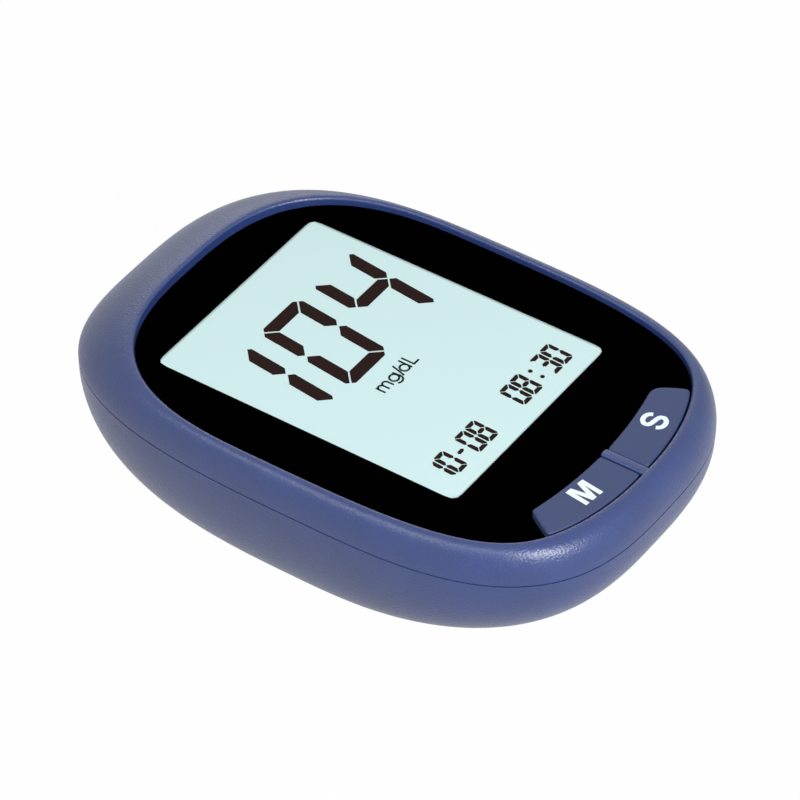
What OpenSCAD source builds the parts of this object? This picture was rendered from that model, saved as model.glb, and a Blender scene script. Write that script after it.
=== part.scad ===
// Pocket blood glucose meter: egg-shaped two-part casing, large display under a
// clear lens, two keys below it, test strip port at the far end, two AAA cells
// behind a hinged door. The meter lies on its back: +Z out of the display,
// +Y towards the strip port, origin under the middle of the casing.

/* [Body] */
// Width of the casing at its parting line
body_w = 60; // [59.5:0.5:63]
// Length of the casing at its parting line
body_l = 89.2; // [88.8:0.2:93]
// How far towards the keys the casing is widest
belly_y = -5.2; // [-5.6:0.1:-4.8]
// Thickness of the casing walls
wall = 1.8; // [1.6:0.05:1.9]
// Depth of the parting line below the face of the lens
seam_drop = 4.6; // [4.4:0.05:4.8]
// Height of the rim above the lens along the sides
rim_h = 1.0; // [0.8:0.1:1.3]
// Height of the rim above the lens at the far end
rim_far_h = 1.6; // [1.3:0.1:1.9]
// Width of the rim along the sides
rim_side = 2.65; // [2.4:0.05:2.9]
// Width of the sloped shoulder at the far end
rim_far = 9.8; // [9.2:0.1:10.4]
// Width of the rim next to the keys
rim_near = 3.6; // [3.4:0.05:3.9]
// Radius of the inner edge of the rim
rim_round = 0.45; // [0.3:0.05:0.6]
// How far the flat underside is drawn in from the sides
base_in_side = 5.6; // [5:0.1:6.5]
// How far the flat underside is drawn in from the far end
base_in_far = 12.4; // [11.5:0.1:13]
// How far the flat underside is drawn in from the near end
base_in_near = 22.4; // [21:0.1:23]

/* [Lens and display] */
// Thickness of the clear lens
lens_t = 1.05; // [0.9:0.05:1.4]
// Thickness of the printed black mask behind the lens
mask_t = 0.15; // [0.1:0.05:0.25]
// Gap between the lens and the rim
lens_gap = 0.15; // [0.1:0.05:0.2]
// Thickness of the ledge that carries the lens
ledge_t = 1.0; // [0.9:0.05:1.3]
// Width of the black border beside the display window
border_side = 8.65; // [8.45:0.05:9.1]
// Width of the black border beyond the display window
border_far = 7.85; // [7.65:0.05:8.2]
// Width of the black border between the display window and the keys
border_near = 11.55; // [11.3:0.05:11.9]
// Corner radius of the display window
window_r = 1.0; // [0.6:0.1:1.6]
// Margin of the display glass around the window
glass_margin = 2.6; // [2.5:0.05:2.7]
// Thickness of each display glass
glass_t = 0.7; // [0.6:0.05:0.9]
// Thickness of each polarising film
film_t = 0.15; // [0.1:0.05:0.2]
// Width of the glass edge that carries the display contacts
contact_ledge = 2.0; // [1.9:0.05:2.1]
// Height of the rubber contact strips
strip_h = 2.25; // [2.1:0.05:2.6]
// Height of the large digits
digit_h = 17; // [16:0.1:17.6]
// Height of the date and time digits
small_h = 4.5; // [4.2:0.05:4.8]

/* [Keys] */
// Depth of the keys from the rim to their curved edge
key_depth = 6.7; // [6.4:0.1:7]
// Radius of the keys' curved edge
key_arc_r = 65; // [60:1:75]
// Half width of the two keys together, at their curved edge
key_half_w = 15.2; // [14.8:0.1:15.5]
// Slope of the keys' outer ends
key_end_angle = 57.5; // [55:0.5:60]
// Height of the keys above the lens
key_h = 0.9; // [0.7:0.05:1]
// Gap around each key
key_gap = 0.25; // [0.2:0.05:0.3]
// Travel of the keys
key_travel = 0.5; // [0.3:0.05:0.6]
// Width of the bar between the keys
divider_w = 1.4; // [1.2:0.1:1.6]
// Thickness of the flange that keeps each key in
flange_t = 0.8; // [0.7:0.05:0.9]

/* [Battery bay] */
// Diameter of an AAA cell
cell_d = 10.5; // [10.3:0.1:10.6]
// Length of an AAA cell with its contact button
cell_l = 44.5; // [44:0.1:44.7]
// Room around each cell
cell_gap = 0.3; // [0.25:0.05:0.4]
// Length of a loaded contact spring
spring_l = 3.4; // [3.2:0.1:3.6]
// Thickness of the contact plates
plate_t = 0.4; // [0.3:0.05:0.5]
// Thickness of the battery door
door_t = 1.5; // [1.4:0.05:1.6]
// Gap around the battery door
door_gap = 0.15; // [0.1:0.05:0.2]
// Thickness of the bay's roof and side walls
bay_wall = 1.0; // [0.9:0.05:1.2]
// How far the latch tongue bends back
latch_travel = 1.2; // [1.1:0.05:1.3]

/* [Board and screws] */
// Thickness of the circuit board
board_t = 1.0; // [0.8:0.1:1.2]
// Free height between the bay and the board
board_gap = 0.3; // [0.25:0.05:0.5]
// Shank radius of the casing screws
screw_r = 0.9; // [0.8:0.05:1]
// Length of the casing screws under the head
screw_l = 9; // [8.6:0.1:9.4]
// Radius of the casing screws' heads
head_r = 1.8; // [1.6:0.05:1.9]
// Height of the casing screws' heads
head_h = 1.3; // [1.1:0.05:1.5]
// Width of the test strip slot
slot_w = 7.2; // [6.8:0.1:7.6]
// Height of the test strip slot
slot_h = 1.0; // [0.8:0.05:1.1]

/* [Hidden] */
$fn = 48;

// Sections around each closed outline
outline_n = 80;
// Steps up each rounded side
side_steps = 9;
// Overlap that joins pieces of one solid, and clears cuts
eps = 0.02;
cut = 1;

// Heights, from the table up through the cells to the lens
cell_z = door_t + cell_gap + cell_d / 2;
bay_top_z = cell_z + cell_d / 2 + cell_gap + bay_wall;
board_z = bay_top_z + board_gap;
board_top_z = board_z + board_t;
glass_top_z = board_top_z + strip_h + glass_t;
display_top_z = glass_top_z + film_t;
display_gap = 0.1;
ledge_z = display_top_z + display_gap;
ledge_top_z = ledge_z + ledge_t;
lens_z = ledge_top_z + mask_t + lens_t;
seam_z = lens_z - seam_drop;
key_top_z = lens_z + key_h;

// Plan of the casing
half_w = body_w / 2;
half_l = body_l / 2;
near_rim_y = -half_l + rim_near;
key_edge_y = near_rim_y + key_depth;
recess_mid_y = 4.4;
window_far_y = half_l - rim_far - border_far;
window_near_y = key_edge_y + border_near;
window_w = 2 * (half_w - rim_side - border_side);
window_l = window_far_y - window_near_y;
window_y = (window_far_y + window_near_y) / 2;

// Superellipse exponents of the outlines and of the rounded sides
seam_far_n = 3.17;
seam_near_n = 2.95;
recess_far_n = 2.86;
recess_near_n = 3.66;
recess_near_ease = 0.95;
base_n = 2.7;
rim_side_n = 2.15;
rim_far_n = 1.4;
rim_near_n = 2.25;
belly_side_n = 2.15;
belly_end_n = 2.27;

function spow(v, p) = sign(v) * pow(abs(v), p);

// Closed egg outline: half width a, widest at yc, ends at far_y and near_y. Its
// exponent falls by near_ease towards the middle of the near end.
function egg(a, yc, far_y, near_y, far_n, near_n, near_ease = 0) =
    [for (i = [0 : outline_n - 1])
        let (t = 360 * i / outline_n,
             n = sin(t) >= 0 ? far_n : near_n - near_ease * pow(-sin(t), 7),
             b = sin(t) >= 0 ? far_y - yc : yc - near_y)
        [a * spow(cos(t), 2 / n), yc + b * spow(sin(t), 2 / n)]];

seam_line = egg(half_w, belly_y, half_l, -half_l, seam_far_n, seam_near_n);
recess_line = egg(half_w - rim_side, recess_mid_y, half_l - rim_far,
                  near_rim_y, recess_far_n, recess_near_n, recess_near_ease);
base_line = egg(half_w - base_in_side, 0, half_l - base_in_far,
                -half_l + base_in_near, base_n, base_n);

// Outline moved inwards by d, square to itself
function inset(line, d) =
    [for (i = [0 : outline_n - 1])
        let (a = line[(i + outline_n - 1) % outline_n],
             b = line[(i + 1) % outline_n],
             t = (b - a) / norm(b - a))
        line[i] - d * [t[1], -t[0]]];

function far_share(i) = pow(max(sin(360 * i / outline_n), 0), 2);
function near_share(i) = pow(max(-sin(360 * i / outline_n), 0), 2);

// Height of the rim's crest and the roundness of the rim at outline point i
function crest_z(i) = lens_z + rim_h + (rim_far_h - rim_h) * far_share(i);
function rim_n(i) = rim_side_n + (rim_far_n - rim_side_n) * far_share(i)
                    + (rim_near_n - rim_side_n) * near_share(i);
function belly_n(i) = belly_side_n + (belly_end_n - belly_side_n)
                      * pow(sin(360 * i / outline_n), 2);

crest_line = inset(recess_line, -rim_round);

// Ring of the upper casing at angle w: 0 at the parting line, 90 at the crest
function rim_ring(w) =
    [for (i = [0 : outline_n - 1])
        let (u = pow(cos(w), 2 / rim_n(i)),
             v = pow(sin(w), 2 / rim_n(i)),
             p = crest_line[i] + (seam_line[i] - crest_line[i]) * u)
        [p[0], p[1], seam_z + (crest_z(i) - seam_z) * v]];

// Ring of the rim's rounded inner edge: 0 at the crest, 90 on the inner wall
function edge_ring(w) =
    let (line = inset(recess_line, -rim_round * (1 - sin(w))))
    [for (i = [0 : outline_n - 1])
        [line[i][0], line[i][1], crest_z(i) - rim_round * (1 - cos(w))]];

// Outline of the upper casing at height z
function rim_line(z) =
    [for (i = [0 : outline_n - 1])
        let (v = max(z - seam_z, 0) / (crest_z(i) - seam_z),
             u = pow(1 - pow(v, rim_n(i)), 1 / rim_n(i)))
        crest_line[i] + (seam_line[i] - crest_line[i]) * u];

// Ring of the lower casing between two outlines: 0 at the base, 90 at the top
function belly_ring(base, top, low_z, w) =
    [for (i = [0 : outline_n - 1])
        let (u = pow(sin(w), 2 / belly_n(i)),
             v = pow(cos(w), 2 / belly_n(i)),
             p = base[i] + (top[i] - base[i]) * u)
        [p[0], p[1], seam_z - (seam_z - low_z) * v]];

function flat_ring(line, z) = [for (p = line) [p[0], p[1], z]];

// Solid through a stack of rings, closed by flat ends
module skin(rings) {
    n = len(rings[0]);
    m = len(rings);
    sides = [for (j = [0 : m - 2], i = [0 : n - 1])
        let (a = j * n + i, b = j * n + (i + 1) % n)
        each [[a, a + n, b], [b, a + n, b + n]]];
    low_end = [for (i = [0 : n - 1]) i];
    high_end = [for (i = [n - 1 : -1 : 0]) (m - 1) * n + i];
    polyhedron([for (r = rings) each r], concat(sides, [low_end], [high_end]));
}

module plate(line, low_z, high_z) {
    translate([0, 0, low_z]) linear_extrude(high_z - low_z) polygon(line);
}

// Block between two corners
module block(low, high) {
    translate(low) cube(high - low);
}

// Block with rounded vertical edges, centred on [x, y]
module rounded_block(x, y, w, l, r, low_z, high_z) {
    translate([x, y, low_z]) linear_extrude(high_z - low_z) {
        square([w - 2 * r, l], center = true);
        square([w, l - 2 * r], center = true);
        for (sx = [-1, 1], sy = [-1, 1])
            translate([sx * (w / 2 - r), sy * (l / 2 - r)]) circle(r);
    }
}

module pin(x, y, r, low_z, high_z) {
    translate([x, y, low_z]) cylinder(r = r, h = high_z - low_z);
}

// Casing screw posts: two at the far end, two near the keys
boss_r = 2.2;
post_r = 3.0;
post_far = [half_w - 11.5, half_l - 11];
post_near = [half_w - 9.5, -half_l + 13.6];
posts = [[post_far[0], post_far[1]], [-post_far[0], post_far[1]],
         [post_near[0], post_near[1]], [-post_near[0], post_near[1]]];
boss_low_z = board_z - 1;
head_seat_z = boss_low_z - 5;
pilot_gap = 0.05;
hole_gap = 0.2;
boss_hole_gap = 0.25;

// Board screws: two at the far end, one between display and keys
board_boss_r = 1.8;
board_screw_r = 0.75;
board_screw_l = 3.6;
board_head_r = 1.5;
board_head_h = 0.9;
board_spot_gap = 6;
board_spot_x = post_far[0] - board_spot_gap;
board_spots = [[board_spot_x, post_far[1] + 0.9], [-board_spot_x, post_far[1] + 0.9],
               [0, post_near[1] + 1]];

// Keys
key_arc_y = key_edge_y + key_arc_r;
key_flange_out = 0.65;
flange_gap = 0.2;
flange_top_z = ledge_z - flange_gap;
key_spot = [8.6, near_rim_y + 4.2];
switch_size = [6, 3.5, 1.4];
plunger_r = 1.0;
plunger_gap = 0.08;
plunger_top_z = flange_top_z - flange_t - 0.2;
plunger_low_z = board_top_z + key_travel + 0.2;

// Area of both keys in plan, drawn in by d all round
module key_area(d) {
    slope = [cos(key_end_angle), -sin(key_end_angle)];
    top_y = key_edge_y + 4;
    low_y = near_rim_y - 2;
    arc_rise = key_arc_r - sqrt(pow(key_arc_r, 2) - pow(key_half_w, 2));
    end_y = key_edge_y + arc_rise;
    inward = d / sin(key_end_angle);
    top_x = key_half_w - (top_y - end_y) * slope[0] / -slope[1] - inward;
    low_x = key_half_w + (end_y - low_y) * slope[0] / -slope[1] - inward;
    difference() {
        polygon([[-top_x, top_y], [-low_x, low_y], [low_x, low_y], [top_x, top_y]]);
        translate([0, key_arc_y]) circle(key_arc_r + d, $fn = 180);
    }
}

// Plan of one key, on the side given by sx, drawn in by d all round
module key_plan(sx, d) {
    intersection() {
        key_area(d);
        polygon(inset(recess_line, d));
        translate([sx > 0 ? divider_w / 2 + d : -half_w, -half_l])
            square([half_w - divider_w / 2 - d, half_l]);
    }
}

// Battery bay
cell_x = cell_d / 2 + cell_gap * 0.8;
bay_half = cell_x + cell_d / 2 + cell_gap;
bay_l = cell_l + spring_l + 2 * plate_t + 0.3;
bay_mid_y = 0.5;
bay_near_y = bay_mid_y - bay_l / 2;
bay_far_y = bay_mid_y + bay_l / 2;
pad_t = 0.3;
pad_r = 2;
tip_r = 1.9;
tip_l = 1.0;
end_wall = 1.2;
ledge_w = 2;
base_pad_z = door_t + 1.7;

// Battery door: the hinge line is its far lower edge
door_half = bay_half + 1.9;
door_far_y = bay_far_y + 3.4;
door_near_y = bay_near_y - 4.2;
hinge_y = door_far_y + door_gap * 2 / 3;
hook_x = [5, 9];
hook_t = 0.8;
hook_reach = 2.1;
hook_z = wall + 0.15;
swing_r = norm([hook_reach, hook_z + hook_t]) + 0.25;

// Latch tongue at the door's near end
latch_half = 4;
latch_t = 0.7;
latch_y = bay_near_y - end_wall - latch_t - latch_travel - 0.1;
latch_high_z = 5.2;
catch_low_z = 3.2;
catch_t = 1.0;
catch_l = 1.4;
latch_wall_y = latch_y - 0.3;

// Strip port: the guide's outer face follows the casing
guide_half = 6.2;
guide_y = [half_l - 4.4, half_l];
mouth_l = 1.9;
mouth_rise = 0.6;
slot_z = board_top_z + 1.4;
guide_z = [slot_z - slot_h / 2 - 1.3, slot_z + slot_h / 2 + 0.9];
guide_gap = 0.15;
connector_half = 5.6;
connector_y = [half_l - 12, half_l - 4.6];
connector_top_z = board_top_z + 2.6;
contact_count = 5;
contact_pitch = 1.4;
contact_w = 0.6;

// Upper casing -------------------------------------------------------------

module upper_outer() {
    skin(concat([for (j = [0 : side_steps]) rim_ring(90 * j / side_steps)],
                [for (w = [30, 60, 90]) edge_ring(w)],
                [flat_ring(recess_line, ledge_top_z)]));
}

module upper_cavity() {
    mid_z = (seam_z + ledge_z) / 2;
    skin([flat_ring(inset(seam_line, wall), seam_z - cut),
          flat_ring(inset(seam_line, wall), seam_z),
          flat_ring(inset(rim_line(mid_z), wall), mid_z),
          flat_ring(inset(rim_line(ledge_z), wall), ledge_z)]);
}

module port_notch() {
    block([-guide_half - guide_gap, guide_y[0] - guide_gap, guide_z[0] - guide_gap],
          [guide_half + guide_gap, half_l + cut, guide_z[1] + guide_gap]);
}

module upper_housing() {
    color("#54608c")
    difference() {
        union() {
            difference() {
                upper_outer();
                upper_cavity();
                port_notch();
            }
            for (p = posts) pin(p[0], p[1], boss_r, boss_low_z, ledge_z + ledge_t / 2);
            for (p = board_spots)
                pin(p[0], p[1], board_boss_r, board_top_z, ledge_z + ledge_t / 2);
            divider();
        }
        rounded_block(0, window_y, window_w + 1.6, window_l + 1.6, window_r + 0.6,
                      ledge_z - cut, ledge_top_z + cut);
        for (sx = [-1, 1])
            translate([0, 0, ledge_z - cut])
                linear_extrude(ledge_t + 1.5 * cut) key_plan(sx, -key_gap + 0.27);
        for (p = posts)
            pin(p[0], p[1], screw_r + pilot_gap, boss_low_z - cut,
                head_seat_z + screw_l + 0.6);
        for (p = board_spots)
            pin(p[0], p[1], board_screw_r + pilot_gap, board_top_z - cut,
                board_z + board_screw_l - 0.3);
    }
}

// Bar between the keys, moulded on the rim
module divider() {
    block([-divider_w / 2, near_rim_y - 0.3, ledge_z],
          [divider_w / 2, key_edge_y + 0.8, key_top_z]);
}

// Lower casing -------------------------------------------------------------

module lower_outer() {
    skin([for (j = [0 : side_steps])
        belly_ring(base_line, seam_line, 0, 90 * j / side_steps)]);
}

module lower_cavity() {
    low = inset(base_line, wall);
    high = inset(seam_line, wall);
    skin(concat([for (j = [0 : side_steps - 2])
                    belly_ring(low, high, wall, 90 * j / (side_steps - 2))],
                [flat_ring(high, seam_z + cut)]));
}

// Lip that centres the upper casing on the lower one
lip_h = 1.3;
lip_t = 1.0;
lip_gap = 0.15;

module lip() {
    outer = inset(rim_line(seam_z + lip_h), wall + lip_gap);
    inner = inset(rim_line(seam_z + lip_h), wall + lip_gap + lip_t);
    difference() {
        union() {
            plate(outer, seam_z - 1.5, seam_z + lip_h);
            plate(inset(seam_line, wall - 0.3), seam_z - 1.5, seam_z - eps);
        }
        plate(inner, seam_z - 1.5 - cut, seam_z + lip_h + cut);
        for (p = posts)
            pin(p[0], p[1], boss_r + boss_hole_gap, seam_z - 1.5 - cut,
                seam_z + lip_h + cut);
    }
}

module hook_slots() {
    for (sx = [-1, 1])
        block([sx * (hook_x[0] + hook_x[1]) / 2 - (hook_x[1] - hook_x[0]) / 2 - 0.2,
               hinge_y - swing_r, door_t],
              [sx * (hook_x[0] + hook_x[1]) / 2 + (hook_x[1] - hook_x[0]) / 2 + 0.2,
               hinge_y + hook_reach + 0.4, swing_r]);
}

module lower_housing() {
    color("#4b5683")
    difference() {
        union() {
            difference() {
                lower_outer();
                lower_cavity();
            }
            lip();
            intersection() {
                lower_outer();
                union() {
                    for (p = posts) pin(p[0], p[1], post_r, 0, boss_low_z - 0.05);
                    block([-bay_half - bay_wall, bay_near_y - end_wall, 0],
                          [bay_half + bay_wall, bay_far_y + end_wall, bay_top_z]);
                    block([-door_half - ledge_w, latch_wall_y - 3, 0],
                          [door_half + ledge_w, hinge_y + hook_reach + 1.6, base_pad_z]);
                    block([-latch_half - 2.5, latch_wall_y - 3, 0],
                          [latch_half + 2.5, bay_near_y, latch_high_z + 2]);
                }
            }
        }
        block([-bay_half, bay_near_y, -cut],
              [bay_half, bay_far_y, bay_top_z - bay_wall]);
        rounded_block(0, (door_far_y + door_near_y) / 2,
                      2 * (door_half + door_gap),
                      door_far_y - door_near_y + 2 * door_gap, 2.5,
                      -cut, door_t + 0.05);
        hook_slots();
        block([-latch_half - 0.4, latch_wall_y, -cut],
              [latch_half + 0.4, bay_near_y - end_wall + eps, latch_high_z + 0.6]);
        block([-latch_half - 0.2, latch_y - catch_l - 0.4, catch_low_z - 0.1],
              [latch_half + 0.2, latch_wall_y + cut, catch_low_z + catch_t + 0.3]);
        for (sx = [-1, 1])
            block([sx * cell_x - 1.3, bay_near_y - 0.1, bay_top_z - bay_wall - cut],
                  [sx * cell_x + 1.3, bay_near_y + plate_t + 0.2, bay_top_z + cut]);
        for (p = posts) {
            pin(p[0], p[1], head_r + 0.3, -cut, head_seat_z);
            pin(p[0], p[1], screw_r + hole_gap, head_seat_z - cut, boss_low_z + cut);
        }
        for (p = board_spots)
            pin(p[0], p[1], board_head_r + hole_gap, board_z - board_head_h - hole_gap,
                board_z);
        port_notch();
    }
}

// Battery door and latch ---------------------------------------------------

module battery_door() {
    color("#4b5683") {
        difference() {
            intersection() {
                lower_outer();
                rounded_block(0, (door_far_y + door_near_y) / 2, 2 * door_half,
                              door_far_y - door_near_y, 2.5 - door_gap, -cut, door_t);
            }
            block([-latch_half - 0.3, door_near_y - cut, -cut],
                  [latch_half + 0.3, latch_y + latch_t + latch_travel + 0.2,
                   door_t + cut]);
            for (j = [0 : 3])
                block([-latch_half - 1, latch_y + 7 + 1.6 * j, -cut],
                      [latch_half + 1, latch_y + 7.6 + 1.6 * j, 0.35]);
        }
        for (sx = [-1, 1])
            translate([sx * (hook_x[0] + hook_x[1]) / 2, 0, 0])
                rotate([90, 0, 90])
                    linear_extrude(hook_x[1] - hook_x[0], center = true)
                        polygon([[door_far_y - 1.4, door_t - 0.2],
                                 [door_far_y - 0.2, door_t - 0.2],
                                 [door_far_y - 0.2, hook_z],
                                 [hinge_y + hook_reach, hook_z],
                                 [hinge_y + hook_reach, hook_z + hook_t],
                                 [door_far_y - 1.4, hook_z + hook_t]]);
    }
}

module door_latch() {
    color("#4b5683") {
        block([-latch_half, latch_y, 0.6], [latch_half, latch_y + latch_t, latch_high_z]);
        block([-latch_half, latch_y - 0.2, 0.6],
              [latch_half, latch_y + latch_t, door_t - 0.1]);
        translate([0, latch_y + eps, catch_low_z])
            rotate([90, 0, -90])
                linear_extrude(2 * latch_half - 0.8, center = true)
                    polygon([[0, 0], [catch_l, 0], [catch_l, catch_t * 0.4],
                             [0.3, catch_t], [0, catch_t]]);
    }
}

// Lens and display ---------------------------------------------------------

module lens_plan() {
    difference() {
        polygon(inset(recess_line, lens_gap));
        key_area(-key_gap);
        translate([-divider_w / 2 - key_gap, near_rim_y - 1])
            square([divider_w + 2 * key_gap, key_depth + 2.1]);
    }
}

module display_lens() {
    color("#101214", 0.5)
    translate([0, 0, ledge_top_z + mask_t]) linear_extrude(lens_t) lens_plan();
}

module lens_mask() {
    color("black")
    difference() {
        translate([0, 0, ledge_top_z]) linear_extrude(mask_t) lens_plan();
        rounded_block(0, window_y, window_w, window_l, window_r,
                      ledge_top_z - cut, ledge_top_z + cut);
    }
}

glass_w = window_w + 2 * glass_margin - 0.6;
glass_l = window_l + 2 * glass_margin;
rear_glass_l = glass_l - 2 * contact_ledge - 0.4;
rear_glass_z = glass_top_z - 2 * glass_t;

module sheet(w, l, low_z, high_z) {
    block([-w / 2, window_y - l / 2, low_z], [w / 2, window_y + l / 2, high_z]);
}

module front_polarizer() {
    color("#cfe6e4") sheet(window_w + 2, window_l + 2, glass_top_z, display_top_z);
}

module front_glass() {
    color("#dcebe8", 0.5) sheet(glass_w, glass_l, glass_top_z - glass_t, glass_top_z);
}

module rear_glass() {
    color("#dcebe8", 0.5)
        sheet(glass_w, rear_glass_l, rear_glass_z, rear_glass_z + glass_t);
}

module rear_reflector() {
    color("#c8e4e2")
        sheet(window_w + 2, rear_glass_l - 0.2, rear_glass_z - film_t, rear_glass_z);
}

frame_wall = 1.0;
frame_gap = 0.2;

module display_frame() {
    ledge_y = rear_glass_l / 2 - 0.1;
    color("#e8e8e4")
    difference() {
        sheet(glass_w + 2 * (frame_gap + frame_wall), glass_l + 2 * (frame_gap + frame_wall),
              board_top_z, display_top_z);
        sheet(glass_w + 2 * frame_gap, glass_l + 2 * frame_gap,
              rear_glass_z - film_t, display_top_z + cut);
        sheet(glass_w - 4, rear_glass_l - 2.6, board_top_z - cut, display_top_z);
        for (sy = [-1, 1])
            block([-glass_w / 2 + 0.6,
                   window_y + (sy > 0 ? ledge_y : -glass_l / 2 - frame_gap),
                   board_top_z - cut],
                  [glass_w / 2 - 0.6,
                   window_y + (sy > 0 ? glass_l / 2 + frame_gap : -ledge_y),
                   display_top_z]);
    }
}

// Rubber strip that joins the display glass to the board
module contact_strip(sy) {
    y = window_y + sy * (glass_l / 2 - contact_ledge / 2);
    color("#e6b9b4")
    block([-glass_w / 2 + 0.9, y - contact_ledge / 2 + 0.15, board_top_z],
          [glass_w / 2 - 0.9, y + contact_ledge / 2 - 0.15, glass_top_z - glass_t]);
}

module contact_strip_far() { contact_strip(1); }
module contact_strip_near() { contact_strip(-1); }

// Bars of a digit, top, top right, low right, bottom, low left, top left, middle
digit_bars = [[1, 1, 1, 1, 1, 1, 0], [0, 1, 1, 0, 0, 0, 0], [1, 1, 0, 1, 1, 0, 1],
              [1, 1, 1, 1, 0, 0, 1], [0, 1, 1, 0, 0, 1, 1], [1, 0, 1, 1, 0, 1, 1],
              [1, 0, 1, 1, 1, 1, 1], [1, 1, 1, 0, 0, 0, 0], [1, 1, 1, 1, 1, 1, 1],
              [1, 1, 1, 1, 0, 1, 1]];
segment_z = 0.08;
big_lean = 0.112;
small_lean = 0.045;

// Leans a plan to the right by a share of its height
module lean(share) {
    multmatrix([[1, share, 0, 0], [0, 1, 0, 0], [0, 0, 1, 0], [0, 0, 0, 1]])
        children();
}

// Lit bars of a digit of height h, width w and stroke t, its lower left corner
// at the origin: mitred corners, pointed ends at the middle, gap g at each end
module digit(number, h, w, t, g) {
    mid = h * 0.52;
    c = t * 0.45;
    j = t * 0.36;
    top = [[t + g, h - t], [c / 2 + g, h - c / 2], [c + g, h],
           [w - c - g, h], [w - c / 2 - g, h - c / 2], [w - t - g, h - t]];
    low = [for (q = top) [q[0], h - q[1]]];
    high_left = [[0, h - c - g], [c / 2, h - c / 2 - g], [t, h - t - g],
                 [t, mid + t - j + g], [j, mid + g], [0, mid + j + g]];
    low_left = [[0, c + g], [c / 2, c / 2 + g], [t, t + g],
                [t, mid - t + j - g], [j, mid - g], [0, mid - j - g]];
    high_right = [for (q = high_left) [w - q[0], q[1]]];
    low_right = [for (q = low_left) [w - q[0], q[1]]];
    reach = j + g + t / 2;
    middle = [[j + g, mid], [reach, mid + t / 2], [w - reach, mid + t / 2],
              [w - j - g, mid], [w - reach, mid - t / 2], [reach, mid - t / 2]];
    bars = [top, high_right, low_right, low, low_left, high_left, middle];
    for (k = [0 : 6])
        if (digit_bars[number][k] == 1) polygon(bars[k]);
}

module big_digit(number) {
    digit(number, digit_h, digit_h * 0.544, digit_h * 0.122, digit_h * 0.012);
}

module small_digit(number) {
    digit(number, small_h, small_h * 0.5, small_h * 0.11, small_h * 0.02);
}

module display_segments() {
    big_pitch = digit_h * 0.727;
    pitch = small_h * 0.562;
    row_y = -window_l / 2 + small_h * 0.59;
    dash_w = small_h * 0.3;
    color("#2b1a17")
    translate([0, window_y, display_top_z]) linear_extrude(segment_z) {
        translate([-window_w * 0.205, -window_l * 0.006]) lean(big_lean)
            for (k = [0 : 2])
                translate([(k - 1) * big_pitch, 0]) big_digit([1, 0, 4][k]);
        translate([-window_w * 0.437, row_y]) lean(small_lean) {
            for (k = [0 : 3])
                translate([[0, 1, 3, 4][k] * pitch, 0]) small_digit([1, 0, 0, 8][k]);
            translate([2.47 * pitch - dash_w / 2, small_h * 0.45])
                square([dash_w, small_h * 0.1]);
        }
        translate([window_w * 0.07, row_y]) lean(small_lean) {
            for (k = [0 : 3])
                translate([[0, 1, 3, 4][k] * pitch, 0]) small_digit([0, 8, 3, 0][k]);
            for (share = [0.28, 0.73])
                translate([2.53 * pitch, small_h * share])
                    circle(small_h * 0.07, $fn = 24);
        }
    }
}

// Board and what it carries ------------------------------------------------

board_edge_gap = 0.3;
board_line = inset(rim_line(seam_z + lip_h), wall + lip_gap + lip_t + board_edge_gap);

module circuit_board() {
    color("#2e6b3a")
    difference() {
        plate(board_line, board_z, board_top_z);
        block([-guide_half - board_edge_gap, guide_y[0] - board_edge_gap, board_z - cut],
              [guide_half + board_edge_gap, half_l, board_top_z + cut]);
        for (p = posts)
            pin(p[0], p[1], boss_r + boss_hole_gap, board_z - cut, board_top_z + cut);
        for (p = board_spots)
            pin(p[0], p[1], board_screw_r + 0.1, board_z - cut, board_top_z + cut);
    }
}

module switch_body(sx) {
    color("#22242a")
    difference() {
        block([sx * key_spot[0] - switch_size[0] / 2, key_spot[1] - switch_size[1] / 2,
               board_top_z],
              [sx * key_spot[0] + switch_size[0] / 2, key_spot[1] + switch_size[1] / 2,
               board_top_z + switch_size[2]]);
        pin(sx * key_spot[0], key_spot[1], plunger_r + plunger_gap,
            plunger_low_z - key_travel - 0.1, board_top_z + switch_size[2] + cut);
    }
}

module plunger(sx) {
    color("#d8cfae")
        pin(sx * key_spot[0], key_spot[1], plunger_r, plunger_low_z, plunger_top_z);
}

module memory_switch() { switch_body(-1); }
module set_switch() { switch_body(1); }
module memory_plunger() { plunger(-1); }
module set_plunger() { plunger(1); }

module key(sx) {
    color("#5b6385") {
        translate([0, 0, flange_top_z - flange_t])
            linear_extrude(key_top_z - flange_top_z + flange_t)
                key_plan(sx, key_gap);
        translate([0, 0, flange_top_z - flange_t]) linear_extrude(flange_t)
            intersection() {
                key_plan_wide(sx);
                polygon(inset(seam_line, wall + lip_gap + lip_t + 0.25));
            }
        pin(sx * key_spot[0], key_spot[1], 1.5, plunger_top_z, flange_top_z - eps);
    }
}

// Plan of the flange under the ledge, wider than the key's opening
module key_plan_wide(sx) {
    intersection() {
        key_area(-key_flange_out);
        polygon(inset(recess_line, -0.45));
        translate([sx > 0 ? divider_w / 2 + key_gap : -half_w, -half_l])
            square([half_w - divider_w / 2 - key_gap, half_l]);
    }
}

module memory_key() { key(-1); }
module set_key() { key(1); }

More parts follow.
